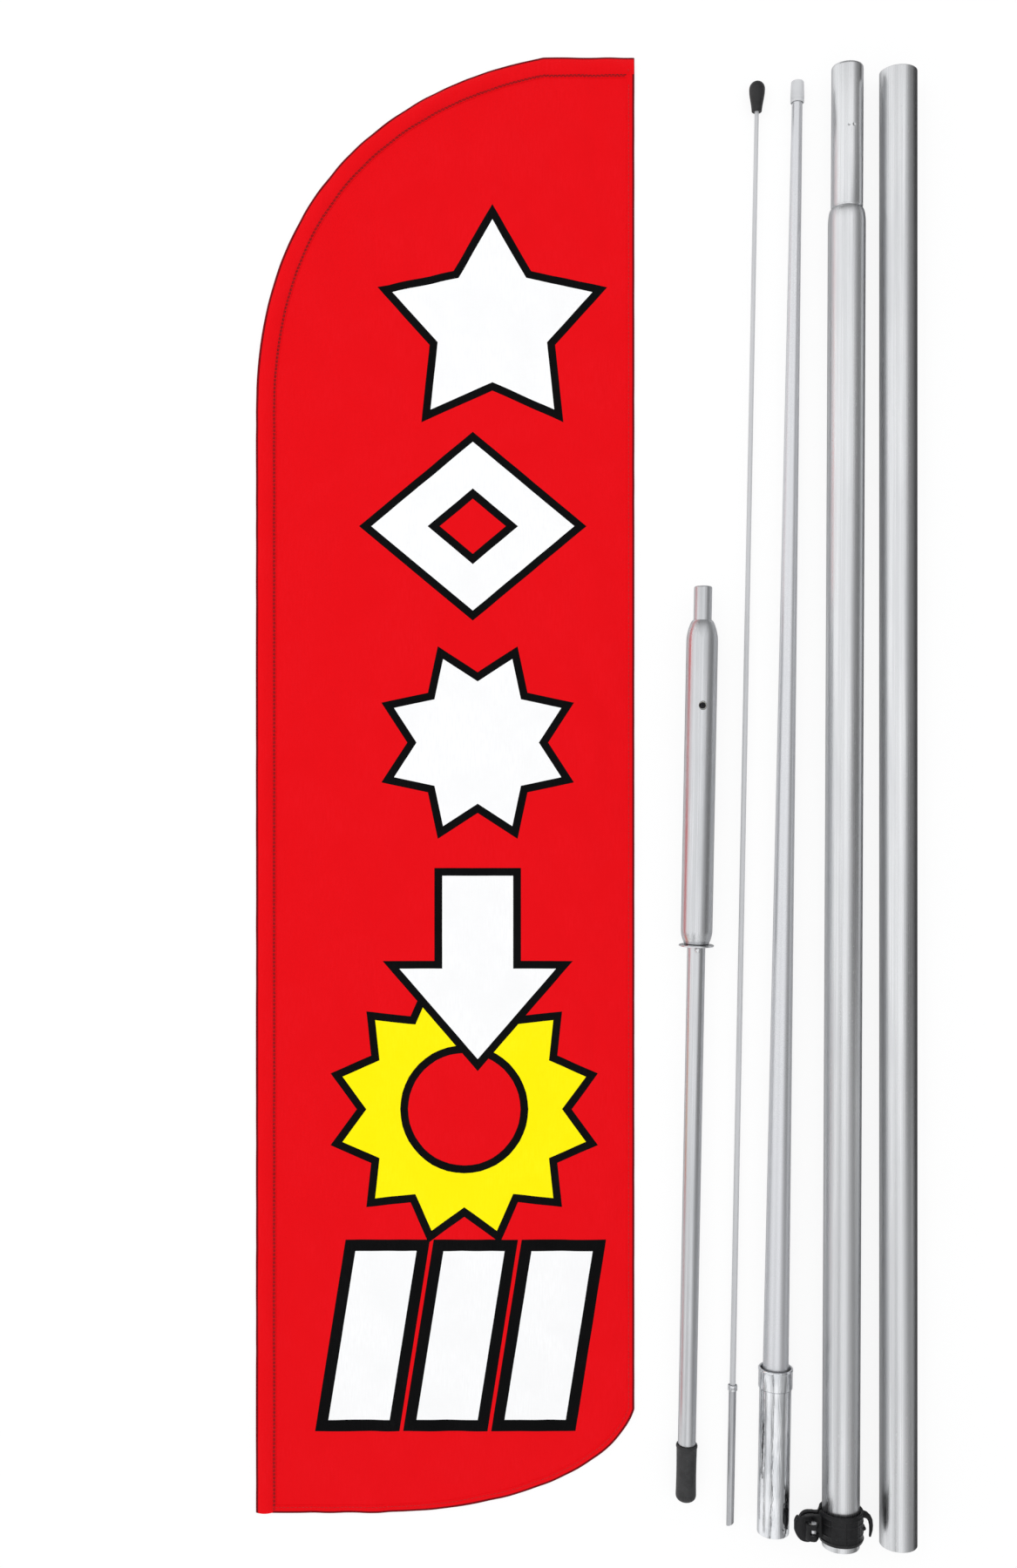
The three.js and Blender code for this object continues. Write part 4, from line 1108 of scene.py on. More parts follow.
def dented(piece, places, width, depth):
    """Pushes the skin of a round piece inwards at each (x, y) seen from above."""
    for vertex in piece.data.vertices:
        x, y, z = (c / MM for c in vertex.co)
        if z < 0:
            continue
        push = sum(math.exp(-((x - px) ** 2 + (y - py) ** 2) / width**2) for px, py in places)
        if push > 0.01:
            radius = math.hypot(x, z)
            vertex.co.x -= x / radius * push * depth * MM
            vertex.co.z -= z / radius * push * depth * MM
    smoothed(piece)
    return piece


def dense_tube(name, profile, marks, material, matrix):
    """A turned piece with close rings round each marked height, fine enough to be dented."""
    fine = []
    for here, after in zip(profile, profile[1:] + profile[:1]):
        fine.append(here)
        outside = here[0] > 1 and abs(here[0] - after[0]) < 0.01 and after[1] > here[1]
        if outside:
            heights = [mark + k * 0.25 for mark in marks for k in range(-9, 10)]
            fine += [(here[0], h) for h in sorted(heights) if here[1] < h < after[1]]
    return turned(name, fine, material, matrix, sides=FINE_ROUND)


def make_base_section():
    section = Section("base_tube")
    low, high = section.span("base_tube")
    bore, skin = section.rim("base_tube", low)
    profile = plain_ring(bore, skin, low, high, EDGE)
    section.fit("base_pole", profile, TUBE_METAL, "base_section", "tube_aluminium", "base_tube")


# Swage: the tube is necked down over a short length, with a drawn crease above the neck.
SWAGE_SHOULDER = 12
SWAGE_START = 4  # below the plain tube's shoulder
CREASE_DEPTH = 0.5
PUNCH_DOWN = 51.6  # of the two punch marks below the spigot's end
PUNCH_SIDES = (-1.4, 2.8)
PUNCH_WIDTH = 0.75
PUNCH_DEPTH = 0.5


def make_swaged_section():
    section = Section("swaged_tube")
    low, high = section.span("swaged_tube")
    bore, skin = section.rim("swaged_tube", low)
    neck_bore, neck = section.rim("swaged_tube", high - 1, near=1.2)
    heights = section.local("swaged_tube")
    outer = heights[np.hypot(heights[:, 0], heights[:, 2]) > skin - 0.05]
    shoulder = float(outer[:, 1].max())
    foot = shoulder - SWAGE_START
    turns = [QUARTER * k / 12 for k in range(13)]
    swage = [(neck + (skin - neck) * math.cos(t), foot + SWAGE_SHOULDER * math.sin(t)) for t in turns]
    top = swage[-1][1]
    crease = [(neck - CREASE_DEPTH * math.sin(math.pi * k / 6), top + 0.4 * k) for k in range(1, 7)]
    profile = [
        (bore, low + EDGE), (bore + EDGE, low), (skin - EDGE, low), (skin - 0.12, low + 0.12),
        (skin, low + EDGE)
    ]
    profile += swage + crease
    profile += [
        (neck, high - 2.2), (neck - 0.15, high - 1.1), (neck - 0.6, high - 0.35), (neck - 1.2, high)
    ]
    profile += [
        (neck_bore + 0.3, high), (neck_bore, high - 0.4), (neck_bore, top + 2), (bore, shoulder - 3)
    ]
    punch = high - PUNCH_DOWN
    tube = dense_tube("swaged_pole", profile, [punch], TUBE_METAL, section.matrix)
    dented(tube, [(side, punch) for side in PUNCH_SIDES], PUNCH_WIDTH, PUNCH_DEPTH)
    kept(tube, "swaged_section", "tube_aluminium", "swaged_tube")


# ------------------------------------------------------------------ tapered section

FERRULE_DENT = (6.3, 7.5)
FERRULE_DENT_WIDTH = 1.0
FERRULE_DENT_DEPTH = 0.4


def make_taper_section():
    section = Section("taper_tube", "chrome_ferrule")
    low, high = section.span("taper_tube")
    wall_in, large = section.rim("taper_tube", low)
    socket, small = section.rim("taper_tube", high)
    lip_low, lip_high = section.span("chrome_ferrule")
    collar_low, collar_high = section.span("top_collar")
    points = section.local("taper_tube")
    radii = np.hypot(points[:, 0], points[:, 2])
    start = float(points[(radii > large - 0.02) & (points[:, 1] > low + 1)][:, 1].max())
    socket_foot = float(points[(radii < socket + 0.05)][:, 1].min())
    steps = [k / 40 for k in range(41)]
    taper = [(large + (small - large) * t, start + (collar_low - start) * t) for t in steps]
    profile = [(wall_in, low), (large, low), *taper, (small, high - 0.4), (small - 0.3, high)]
    profile += [(socket + 0.3, high), (socket, high - 0.3), (socket, socket_foot), (wall_in, start)]
    section.fit("tapered_tube", profile, LACQUER, "taper_section", "taper_tube_grey", "taper_tube")

    bore, foot = section.rim("top_collar", collar_low)
    mouth, crown = section.rim("top_collar", collar_high)
    widest = section.reach("top_collar")
    profile = [
        (bore, collar_low), (foot - 0.5, collar_low), (foot, collar_low + 0.5),
        (foot, collar_low + 1.9)
    ]
    profile += [
        (foot - 0.25, collar_low + 2.3), (foot - 0.25, collar_low + 2.7), (widest, collar_low + 3.1)
    ]
    profile += [(widest, collar_low + 6), (crown, collar_high - 1), (crown - 0.35, collar_high - 0.25)]
    profile += [(crown - 0.8, collar_high), (mouth + 0.5, collar_high), (mouth, collar_high - 0.5)]
    profile += [(mouth, high + 0.3), (bore, high + 0.3)]
    collar = turned("tapered_tube_collar", eased(profile, 0.25, 2), COLLAR_GREY, section.matrix)
    kept(collar, "taper_section", "grey_plastic", "top_collar")

    plug_bore = section.rim("chrome_ferrule", lip_low, near=0.2)[0]
    mouth, bead = section.rim("chrome_ferrule", lip_high)
    body = float(section.rim("chrome_ferrule", lip_low + 1, near=0.2)[1])
    lip = bead - 0.35
    profile = [
        (plug_bore, lip_low + 0.4), (plug_bore + 0.4, lip_low), (body - 0.7, lip_low),
        (body - 0.2, lip_low + 0.3)
    ]
    profile += [(body, lip_low + 1), (body, start - 0.9), (body - 0.35, start - 0.6)]
    profile += [(body - 0.35, start - 0.2), (lip - 0.3, start), (lip, start + 0.35)]
    profile += [(lip, lip_high - 2.6), (lip + 0.1, lip_high - 2.3), (bead - 0.05, lip_high - 1.9)]
    profile += [(bead, lip_high - 1), (bead - 0.1, lip_high - 0.4), (bead - 0.5, lip_high)]
    profile += [
        (mouth + 0.3, lip_high), (mouth, lip_high - 0.3), (mouth, lip_high - 5),
        (plug_bore, lip_high - 5)
    ]
    ferrule = dense_tube("tapered_tube_ferrule", profile, [FERRULE_DENT[1]], CHROME, section.matrix)
    dented(ferrule, [FERRULE_DENT], FERRULE_DENT_WIDTH, FERRULE_DENT_DEPTH)
    kept(ferrule, "taper_section", "chrome", "chrome_ferrule")

    low, high = section.span("ferrule_spacer")
    bore, skin = section.rim("ferrule_spacer", high)
    profile = plain_ring(bore, skin, low, high, 0.2, 2)
    section.fit("ferrule_liner", profile, NYLON, "taper_section", "nylon", "ferrule_spacer")


# ------------------------------------------------------------------ tip section

FERRULE_SLANT = 24  # degrees, at the foot of the ferrule


def make_tip_section():
    section = Section("flex_rod", "rod_ferrule")
    low, high = section.span("flex_rod")
    tenon = section.rim("flex_rod", low)[1]
    thick = section.reach("flex_rod")
    thin = section.rim("flex_rod", high)[1]
    foot, mouth = section.span("rod_ferrule")
    bore, skin = section.rim("rod_ferrule", mouth)
    ball_low, ball_high = section.span("tip_ball")
    shaft = [
        (thick + (thin - thick) * k / 24, mouth + 0.3 + (ball_low - mouth - 0.3) * k / 24)
        for k in range(25)
    ]
    profile = [(0, low), (tenon, low), (tenon, mouth + 0.2), *shaft, (thin, high), (0, high)]
    section.fit(
        "tip_rod", profile, FIBREGLASS,
        "tip_section", "grey_fibreglass", "flex_rod", sides=SMALL_ROUND
    )

    # The ferrule's foot is cut off at a slant, high on its +X side.
    slant = math.tan(math.radians(FERRULE_SLANT))
    profile = [
        (bore, foot), (skin - 0.12, foot), (skin, foot + 0.12), (skin, mouth - 0.2),
        (skin - 0.2, mouth)
    ]
    profile += [(bore, mouth)]
    ferrule = turned("tip_rod_ferrule", profile, TIP_STEEL, section.matrix, sides=SMALL_ROUND)
    for vertex in ferrule.data.vertices:
        if vertex.co.y < (foot + 1) * MM:
            vertex.co.y += (vertex.co.x + skin * MM) * slant
    smoothed(ferrule)
    kept(ferrule, "tip_section", "tip_steel", "rod_ferrule")

    low, high = section.span("ferrule_ring")
    bore, skin = section.rim("ferrule_ring", low)
    middle = (low + high) / 2
    profile = [
        (bore, low), (skin - 0.3, low), (skin, low + 0.5), (skin, middle - 0.5),
        (skin - 0.3, middle - 0.2)
    ]
    profile += [
        (skin - 0.3, middle + 0.2), (skin, middle + 0.5), (skin, high - 0.5), (skin - 0.3, high),
        (bore, high)
    ]
    section.fit(
        "tip_rod_ring", profile, BRIGHT_STEEL,
        "tip_section", "tip_steel", "ferrule_ring", sides=SMALL_ROUND
    )
    make_ball(section, ball_low, ball_high)


def make_ball(section, low, high):
    """The black cap: a rounded lip, a widening neck, and a blunt round head."""
    widest = section.reach("tip_ball")
    bore = section.rim("tip_ball", low)[0]
    neck = bore + (widest - bore) * 0.5
    length = high - low
    bulge = (widest - neck) * 0.35
    outline = curve_points(
        (neck, low + 2), (neck + bulge, low + 9), (widest, high - 12), (widest, high - 6.5), 14
    )
    turns = [QUARTER * k / 10 for k in range(1, 10)]
    crown = [(widest * math.cos(t) ** 0.9, high - 6.5 + 6.5 * math.sin(t)) for t in turns]
    lip = [(bore, low + 0.3), (neck - 0.7, low), (neck - 0.2, low + 0.4), (neck - 0.05, low + 1.1)]
    hollow_top = high - 0.24 * length
    profile = lip + [tuple(p) for p in outline] + crown + [
        (0, high), (0, hollow_top), (bore, hollow_top)
    ]
    section.fit(
        "tip_ball_cap", profile, BALL_RUBBER,
        "tip_ball", "black_rubber", "tip_ball", sides=64, angle=60
    )


# ------------------------------------------------------------------ ground stake


SPIKE_POINT = 32


def make_stake():
    section = Section("spike_rod", "point_guard")
    make_rod(section)
    make_guard(section)
    make_spindle(section)

    low, high = section.span("stake_washer")
    bore = section.rim("stake_washer", high, near=0.1)[0]
    skin = section.reach("stake_washer")
    profile = [(bore, high - 1.2), (skin - 0.4, low), (skin, low + 0.4), (skin - 0.1, low + 0.95)]
    profile += [(skin - 0.5, low + 1.2), (bore + 0.4, high), (bore, high - 0.3)]
    section.fit(
        "stake_thrust_washer", profile, BRIGHT_STEEL,
        "stake_washer", "stake_steel", "stake_washer"
    )


def make_rod(section):
    low, high = section.span("spike_rod")
    thick = section.reach("spike_rod")
    profile = [
        (0, low), (thick * 0.97, low + SPIKE_POINT * 0.94), (thick, low + SPIKE_POINT),
        (thick, high - 1.3)
    ]
    profile += [(thick - 0.2, high - 0.7), (thick - 0.7, high - 0.2), (thick - 1.2, high), (0, high)]
    section.fit("stake_rod", profile, STEEL, "stake", "stake_steel", "spike_rod")

    box = section.local("cross_pin")
    reach = float(box[:, 2].max())
    radius = float(box[:, 0].max())
    height = float(box[:, 1].mean())
    turns = [QUARTER * k / 5 for k in range(5)]
    dome = [(radius * math.cos(t), reach - 0.7 + 0.7 * math.sin(t)) for t in turns]
    profile = [(0, -reach), (radius - 0.4, -reach), (radius, -reach + 0.4), *dome, (0, reach)]
    pin = turned("stake_cross_pin", profile, BRIGHT_STEEL, section.crossing(height), sides=SMALL_ROUND)
    kept(pin, "stake", "stake_steel", "cross_pin")


def make_guard(section):
    """The vinyl cap over the point: a round end, a slight waist and a rolled mouth."""
    low, high = section.span("point_guard")
    skin = section.reach("point_guard")
    bore = section.rim("point_guard", high)[0]
    turns = [QUARTER * k / 8 for k in range(9)]
    end = [(skin * math.sin(t) ** 0.75, low + 5.5 * (1 - math.cos(t))) for t in turns]
    body = [(skin - 0.25 * math.sin(math.pi * k / 8), low + 6 + (high - low - 9) * k / 8) for k in range(9)]
    mouth = [
        (skin + 0.35, high - 2.4), (skin + 0.45, high - 1.2), (skin + 0.1, high - 0.2),
        (bore + 0.3, high)
    ]
    profile = end + body + mouth + [(bore, high - 0.5), (bore, low + 38), (0, low + 5.7)]
    section.fit(
        "stake_point_guard", profile, GUARD_RUBBER,
        "point_guard", "black_rubber", "point_guard", angle=60
    )


SPINDLE_WALL = 1.6
SPINDLE_NOSE = 17
SPINDLE_HEEL = 11
HOLE_RADIUS = 3.2
HOLE_FLARE = 0.5


def make_spindle(section):
    low, high = section.span("spindle_sleeve")
    skin = section.reach("spindle_sleeve")
    heel = section.rim("spindle_sleeve", low)[1]
    bore, nose = section.rim("spindle_sleeve", high)
    screw = section.local("retaining_screw")
    hole_up = float(screw[:, 1].mean())
    screw_radius = float(screw[:, 0].max())
    shoulder, foot = [], []
    for k in range(10):
        radius = nose + (skin - nose) * math.cos(QUARTER * k / 10) ** 0.8
        shoulder.append((radius, high - SPINDLE_NOSE + SPINDLE_NOSE * k / 10 - 0.3))
    for k in range(9):
        radius = heel + (skin - heel) * math.sin(QUARTER * k / 8) ** 0.9
        foot.append((radius, low + SPINDLE_HEEL * k / 8))
    rings = [(skin, h) for h in (hole_up - 9, hole_up - 5, hole_up + 5, hole_up + 9)]
    inner = skin - SPINDLE_WALL
    profile = foot + rings + shoulder + [
        (nose, high - 0.4), (nose - 0.3, high), (bore, high), (bore, high - 2)
    ]
    profile += [(inner, high - SPINDLE_NOSE), (inner, low + SPINDLE_HEEL), (heel - SPINDLE_WALL, low)]
    tube = turned("spindle_tube", profile, STEEL, section.matrix)
    flare = [(0, 0), (HOLE_RADIUS, 0), (HOLE_RADIUS, skin - HOLE_FLARE - 0.1)]
    flare += [(HOLE_RADIUS + HOLE_FLARE + 0.3, skin + 0.4), (0, skin + 0.4)]
    cut(tube, turned("hole_cutter", flare, STEEL, section.crossing(hole_up), sides=SMALL_ROUND))
    kept(tube, "spindle", "stake_steel", "spindle_sleeve")

    # The screw that keeps the spindle on, with a six-sided socket.
    foot, top = float(screw[:, 2].min()), float(screw[:, 2].max())
    profile = [
        (0, foot), (screw_radius, foot), (screw_radius, top - 0.3), (screw_radius - 0.3, top),
        (0, top)
    ]
    head = turned("spindle_screw", profile, SCREW_BLACK, section.crossing(hole_up), sides=SMALL_ROUND)
    socket = [(0, top - 1.4), (1.25, top - 1.4), (1.25, top + 1), (0, top + 1)]
    cut(head, turned("socket_cutter", socket, SCREW_BLACK, section.crossing(hole_up), sides=6))
    kept(head, "spindle", "black_screw", "retaining_screw")

    for name, node in (("spindle_upper_bush", "upper_bush"), ("spindle_lower_bush", "lower_bush")):
        low, high = section.span(node)
        bore, skin = section.rim(node, low)
        profile = plain_ring(bore, skin, low, high, 0.4, 2)
        bush = turned(name, profile, NYLON, section.matrix)
        if node == "upper_bush":
            seat = [(0, 0), (screw_radius + 0.3, 0), (screw_radius + 0.3, skin + 2), (0, skin + 2)]
            cut(bush, turned("seat_cutter", seat, NYLON, section.crossing(hole_up), sides=SMALL_ROUND))
        kept(bush, "spindle", "nylon", node)


# ------------------------------------------------------------------ clamp and hook

VOXEL = 0.32
RIB_RADIUS = 0.5


def rod_along(points, radius, sides=10):
    """Points and faces of a round bar that follows a line of points, with one radius or many."""
    line = [Vector(p) for p in points]
    radii = np.broadcast_to(radius, len(line))
    ring_points, faces = [], []
    for place, here in enumerate(line):
        way = (line[min(place + 1, len(line) - 1)] - line[max(place - 1, 0)]).normalized()
        side = way.cross(UP if abs(way.z) < 0.9 else Vector((1, 0, 0))).normalized()
        top = side.cross(way)
        for k in range(sides):
            angle = 2 * math.pi * k / sides
            out = side * math.cos(angle) + top * math.sin(angle)
            ring_points.append(tuple(here + out * float(radii[place])))
    for row in range(len(line) - 1):
        for k in range(sides):
            far = (k + 1) % sides
            a, b = row * sides, (row + 1) * sides
            faces.append((a + k, b + k, b + far, a + far))
    faces.append(tuple(range(sides)))
    faces.append(tuple(reversed(range((len(line) - 1) * sides, len(line) * sides))))
    return ring_points, faces


def moulded(name, node, section, extras, cutters, material, body, slot):
    """The node's shape with parts cut off and added, run together and softened as a moulding is."""
    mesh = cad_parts[node].data
    corners = [tuple(p) for p in section.local(node)]
    sides = [tuple(polygon.vertices) for polygon in mesh.polygons]
    rough = made("rough_" + name, corners, sides, [material], section.matrix)
    join = rough.modifiers.new("weld", "WELD")
    join.merge_threshold = 0.00001
    settled(rough)
    for cutter in cutters:
        cut(rough, cutter)
    points = [tuple(v.co / MM) for v in rough.data.vertices]
    faces = [tuple(polygon.vertices) for polygon in rough.data.polygons]
    bpy.data.objects.remove(rough)
    for extra_points, extra_faces in extras:
        first = len(points)
        points += extra_points
        faces += [tuple(first + k for k in face) for face in extra_faces]
    piece = made(name, points, faces, [material], section.matrix)
    weld = piece.modifiers.new("weld", "WELD")
    weld.merge_threshold = 0.00001
    remesh = piece.modifiers.new("run_together", "REMESH")
    remesh.mode = "VOXEL"
    remesh.voxel_size = VOXEL * MM
    soften = piece.modifiers.new("soften", "SMOOTH")
    soften.factor = 0.5
    soften.iterations = 4
    settled(piece, angle=180)
    return kept(piece, body, slot, node)


def collar_arc(radius, height, thick):
    """A bead round the collar, open where the collar is split."""
    turns = np.linspace(-0.86 * math.pi, 0.86 * math.pi, 60)
    return rod_along([(radius * math.cos(a), height, radius * math.sin(a)) for a in turns], thick)


# The belt hook's middle line: out from the collar's skin, down from its upper end, and thickness.
HOOK_LINE = (
    (-1.0, 4.0, 3.0),
    (1.4, 4.6, 2.7),
    (3.7, 6.2, 2.2),
    (5.3, 9.0, 1.9),
    (5.9, 13.0, 1.7),
    (5.8, 17.0, 1.5),
    (5.0, 22.4, 0.9),
)
COLLAR_STEP = 0.8  # the collar's end rims stand this far over its middle
COLLAR_CHAMFER = 1.5
CHAMFER_LENGTH = 3.4


def collar_shape(section):
    """What is added to the plain collar and what is cut from it: beads, ribs, hook and chamfers."""
    low, high = section.span("clamp_collar")
    middle = (low + high) / 2
    skin = section.rim("clamp_collar", low)[1]
    flank = skin - COLLAR_STEP
    added = [collar_arc(flank - 0.1, height, RIB_RADIUS) for height in (middle - 4.5, middle + 4.5)]
    added.append(collar_arc(skin - 1.5, high - 0.5, 0.9))
    for angle in (0.3, 0.5, 0.7):
        across = (flank - 0.1) * math.cos(math.pi * angle)
        upward = (flank - 0.1) * math.sin(math.pi * angle)
        added.append(rod_along([(across, low + 3.4, upward), (across, high - 3.4, upward)], 0.6))
    added.append(rod_along([(skin - 0.2, low + 9.5, -3.5), (skin - 0.2, low + 9.5, 3.5)], 1.5))
    hook = [(skin + out, high - down, 0) for out, down, _ in HOOK_LINE]
    added.append(rod_along(hook, [thick for _, _, thick in HOOK_LINE], sides=16))

    deep, far = skin - COLLAR_CHAMFER, skin + 4
    foot = [
        (deep, low - 1), (far, low - 1), (far, low + CHAMFER_LENGTH),
        (skin + 0.1, low + CHAMFER_LENGTH)
    ]
    head = [
        (deep, high + 1), (skin + 0.1, high - CHAMFER_LENGTH), (far, high - CHAMFER_LENGTH),
        (far, high + 1)
    ]
    block = [(x, y, z) for x in (skin + 0.35, skin + 14) for y in (low - 3, high + 2) for z in (-8, 8)]
    walls = [(0, 1, 3, 2), (4, 6, 7, 5), (0, 4, 5, 1), (2, 3, 7, 6), (0, 2, 6, 4), (1, 5, 7, 3)]
    cutters = [
        made("hook_cutter", block, walls, [CLAMP_BLACK], section.matrix),
        turned("foot_cutter", foot, CLAMP_BLACK, section.matrix),
        turned("head_cutter", head, CLAMP_BLACK, section.matrix),
    ]
    return added, cutters


def make_clamp():
    tube = Section("swaged_tube")
    added, cutters = collar_shape(tube)
    moulded("clamp_body", "clamp_collar", tube, added, cutters, CLAMP_BLACK, "clamp", "clamp_plastic")
    moulded("clamp_lever", "cam_lever", tube, [], [], CLAMP_BLACK, "lever", "clamp_plastic")

    pin = Section("pivot_pin")
    low, high = pin.span("pivot_pin")
    radius = pin.reach("pivot_pin")
    profile = [
        (0, low), (radius - 0.4, low), (radius, low + 0.4), (radius, high - 0.4),
        (radius - 0.4, high), (0, high)
    ]
    pin.fit(
        "clamp_pin", profile, BRIGHT_STEEL,
        "draw_bolt", "clamp_steel", "pivot_pin", sides=SMALL_ROUND
    )

    bolt = Section("draw_bolt")
    low, high = bolt.span("draw_bolt")
    head = bolt.reach("draw_bolt")
    points = bolt.local("draw_bolt")
    radii = np.hypot(points[:, 0], points[:, 2])
    shank = bolt.rim("draw_bolt", high)[1]
    head_top = float(points[radii > head - 0.1][:, 1].max())
    profile = [
        (0, low + 0.4), (head - 1.1, low), (head - 0.3, low + 0.25), (head, low + 0.8),
        (head, head_top - 0.3)
    ]
    profile += [(head - 0.3, head_top), (shank + 0.2, head_top), (shank, head_top + 0.3)]
    thread_low, pitch = head_top + 6, 0.7
    while thread_low < high - 6:
        profile += [(shank, thread_low), (shank - 0.25, thread_low + pitch / 2)]
        thread_low += pitch
    profile += [(shank, thread_low), (shank, high - 0.2), (0, high)]
    screw = turned("clamp_bolt", profile, STEEL, bolt.matrix, sides=SMALL_ROUND)
    socket = [(0, low - 1), (1.7, low - 1), (1.7, low + 1.8), (0, low + 1.8)]
    cut(screw, turned("key_cutter", socket, STEEL, bolt.matrix, sides=6))
    kept(screw, "draw_bolt", "clamp_steel", "draw_bolt")

    low, high = bolt.span("bolt_washer")
    bore, skin = bolt.rim("bolt_washer", low)
    profile = plain_ring(bore, skin, low, high, 0.25, 2)
    bolt.fit(
        "clamp_bolt_washer", profile, BRIGHT_STEEL,
        "draw_bolt", "clamp_steel", "bolt_washer", sides=SMALL_ROUND
    )


# ------------------------------------------------------------------ floor and light

FLOOR_DROP = 0.0004
FLOOR_REACH = 6
FLOOR_GLOW = 0.86  # lifts the soft shadows, as a lit paper roll does
DARK_REFLECTION_START = 0.262  # shiny metal sees the pale floor up to here; to the right of it the floor is painted near black for glossy rays only, a painted reflection of a dark room
PAPER_SEEN = 0.92
PAINTED_DARK_REFLECTION = 0.05

# What shiny metal sees overhead, from the left wall to the right one: the sine of the angle
# from straight up, and how bright it is there. The thin dim band is the lamp's middle bar.
LAMP = (
    (-1.0, 1.0),
    (-0.46, 1.0),
    (-0.37, 0.72),
    (-0.28, 1.0),
    (0.36, 1.0),
    (0.46, 0.9),
    (0.6, 0.5),
    (0.77, 0.27),
    (1.0, 0.16),
)
# The same below the lamp's lower end, where window bars and dim wall show between its banks.
LOW_LAMP = (
    (-1.0, 0.3),
    (-0.97, 0.12),
    (-0.9, 0.5),
    (-0.84, 0.9),
    (-0.7, 0.95),
    (-0.5, 0.6),
    (-0.39, 0.2),
    (-0.29, 0.95),
    (0.06, 1.0),
    (0.26, 0.78),
    (0.47, 0.52),
    (0.66, 0.36),
    (0.82, 0.22),
    (0.92, 0.6),
    (1.0, 0.5),
)
LAMP_SLIDE = 0.24  # how far left the lamp's right end leans at its lower end
LAMP_SHINE = 1.12  # the lamp against the plain room
SOFT_SIZE = (1.6, 2.2)  # the one lamp that lights cloth and plastic, in metres and watts
SOFT_POWER = 12
SOFT_PLACE = (-0.9, 0.5, 2.2)
FAR_WALL = 0.3  # how bright the wall beyond the tubes' upper ends is


def make_floor():
    corners = ((-1, -1), (1, -1), (1, 1), (-1, 1))
    reach = FLOOR_REACH / MM
    points = [(x * reach, y * reach, -FLOOR_DROP / MM) for x, y in corners]
    floor = made("floor", points, [(0, 1, 2, 3)], [])
    pale = Finish("pale_floor", Specular_IOR_Level=0.1)
    tree = pale.tree
    path = tree.nodes.new("ShaderNodeLightPath").outputs
    parts = tree.nodes.new("ShaderNodeSeparateXYZ")
    tree.links.new(own_place(tree), parts.inputs[0])
    # Painted reflection: right of the edge the floor's colour for glossy rays turns near black, while the
    # camera sees the floor pale.
    beyond = spread_node(tree, parts.outputs["X"], DARK_REFLECTION_START, DARK_REFLECTION_START + 0.025, PAPER_SEEN, PAINTED_DARK_REFLECTION)
    seen = tree.nodes.new("ShaderNodeCombineColor")
    for place in range(3):
        tree.links.new(beyond, seen.inputs[place])
    shade = pale.use("clouds", Size=0.4)
    pale.colour(
        (None, (0.93, 0.93, 0.93, 1)), (shade, (0.95, 0.95, 0.95, 1)),
        (path["Is Glossy Ray"], seen.outputs[0])
    )
    pale.rough(0.8, (shade, 0.1))
    glow = math_node(tree, "MULTIPLY", path["Is Camera Ray"], FLOOR_GLOW)
    lit = tree.nodes.new("ShaderNodeEmission")
    mix = tree.nodes.new("ShaderNodeMixShader")
    tree.links.new(glow, mix.inputs[0])
    tree.links.new(pale.shader.outputs[0], mix.inputs[1])
    tree.links.new(lit.outputs[0], mix.inputs[2])
    tree.links.new(mix.outputs[0], tree.nodes["Material Output"].inputs["Surface"])
    floor.data.materials.append(pale.material)


def seen_ramp(tree, stops, across):
    """Brightness read off a list of stops by a value from -1 to 1."""
    ramp = tree.nodes.new("ShaderNodeValToRGB")
    marks = ramp.color_ramp.elements
    for mark, (_, level) in zip(marks, (stops[0], stops[-1])):
        mark.color = (level, level, level, 1)
    for side, level in stops[1:-1]:
        marks.new((side + 1) / 2).color = (level, level, level, 1)
    tree.links.new(math_node(tree, "MULTIPLY_ADD", across, 0.5, 0.5), ramp.inputs[0])
    return ramp.outputs[0]


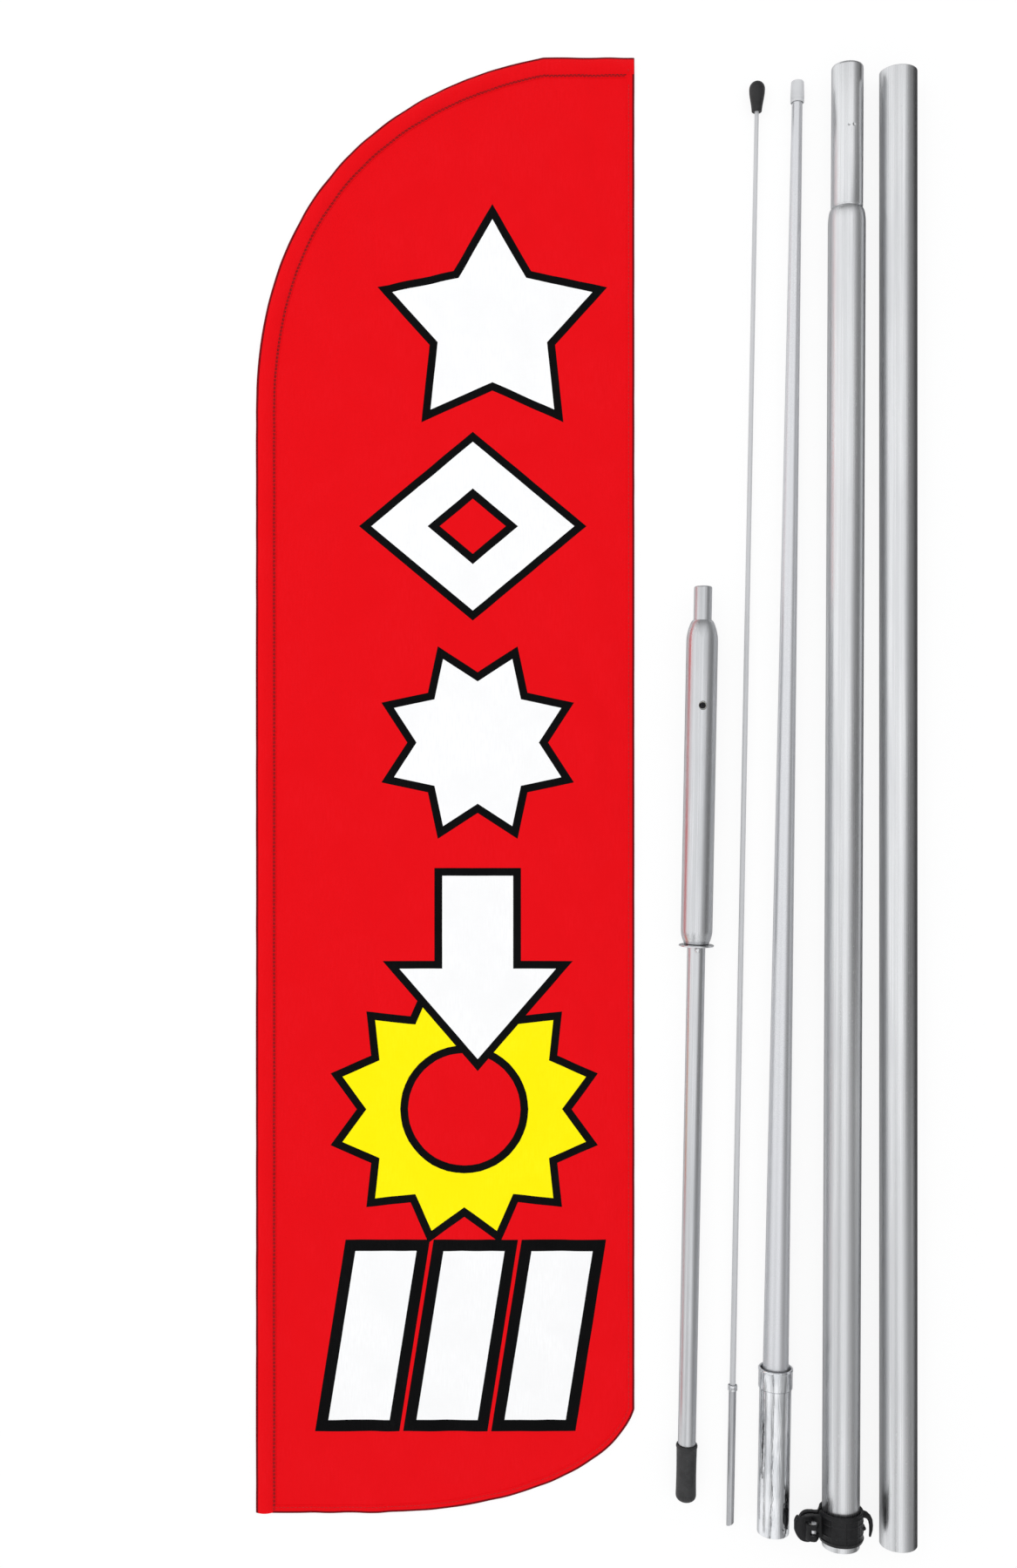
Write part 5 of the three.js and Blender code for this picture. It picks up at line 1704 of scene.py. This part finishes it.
def make_room():
    """An even pale room, in which shiny metal sees one wide lamp overhead and dim walls."""
    world = bpy.data.worlds.new("studio")
    world.use_nodes = True
    bpy.context.scene.world = world
    tree = world.node_tree
    way = tree.nodes.new("ShaderNodeTexCoord").outputs["Generated"]
    parts = tree.nodes.new("ShaderNodeSeparateXYZ")
    tree.links.new(way, parts.inputs[0])
    slide = spread_node(tree, parts.outputs["Y"], -0.25, 0.1, LAMP_SLIDE, 0.0)
    middle = seen_ramp(tree, LAMP, math_node(tree, "ADD", parts.outputs["X"], slide))
    lower = seen_ramp(tree, LOW_LAMP, parts.outputs["X"])
    low = spread_node(tree, parts.outputs["Y"], -0.37, -0.2, 1.0, 0.0)
    high = math_node(tree, "SUBTRACT", 1.0, low)
    wall = spread_node(tree, parts.outputs["Y"], 0.5, 0.75, 1.0, FAR_WALL)
    upper = math_node(tree, "MULTIPLY", middle, wall)
    lamp_seen = math_node(tree, "MULTIPLY_ADD", lower, low, math_node(tree, "MULTIPLY", upper, high))
    shiny = tree.nodes.new("ShaderNodeLightPath").outputs["Is Glossy Ray"]
    rest = math_node(tree, "SUBTRACT", 1.0, shiny)
    bright = math_node(tree, "MULTIPLY", lamp_seen, LAMP_SHINE)
    strength = math_node(tree, "MULTIPLY_ADD", bright, shiny, rest)
    tree.links.new(strength, tree.nodes["Background"].inputs["Strength"])
    tree.nodes["Background"].inputs["Color"].default_value = (0.985, 0.99, 1.0, 1)


def make_light():
    make_room()
    data = bpy.data.lights.new("soft_light", "AREA")
    data.shape = "RECTANGLE"
    data.size, data.size_y = SOFT_SIZE
    data.energy = SOFT_POWER
    light = bpy.data.objects.new("soft_light", data)
    light.location = SOFT_PLACE
    light.rotation_euler = (-light.location).to_track_quat("-Z", "Y").to_euler()
    light.visible_glossy = False
    bpy.context.scene.collection.objects.link(light)
    bpy.context.scene.view_settings.view_transform = "Standard"


# ------------------------------------------------------------------ the whole kit

make_camera()
make_light()
make_floor()
make_flag()
make_stake()
make_tip_section()
make_taper_section()
make_swaged_section()
make_base_section()
make_clamp()
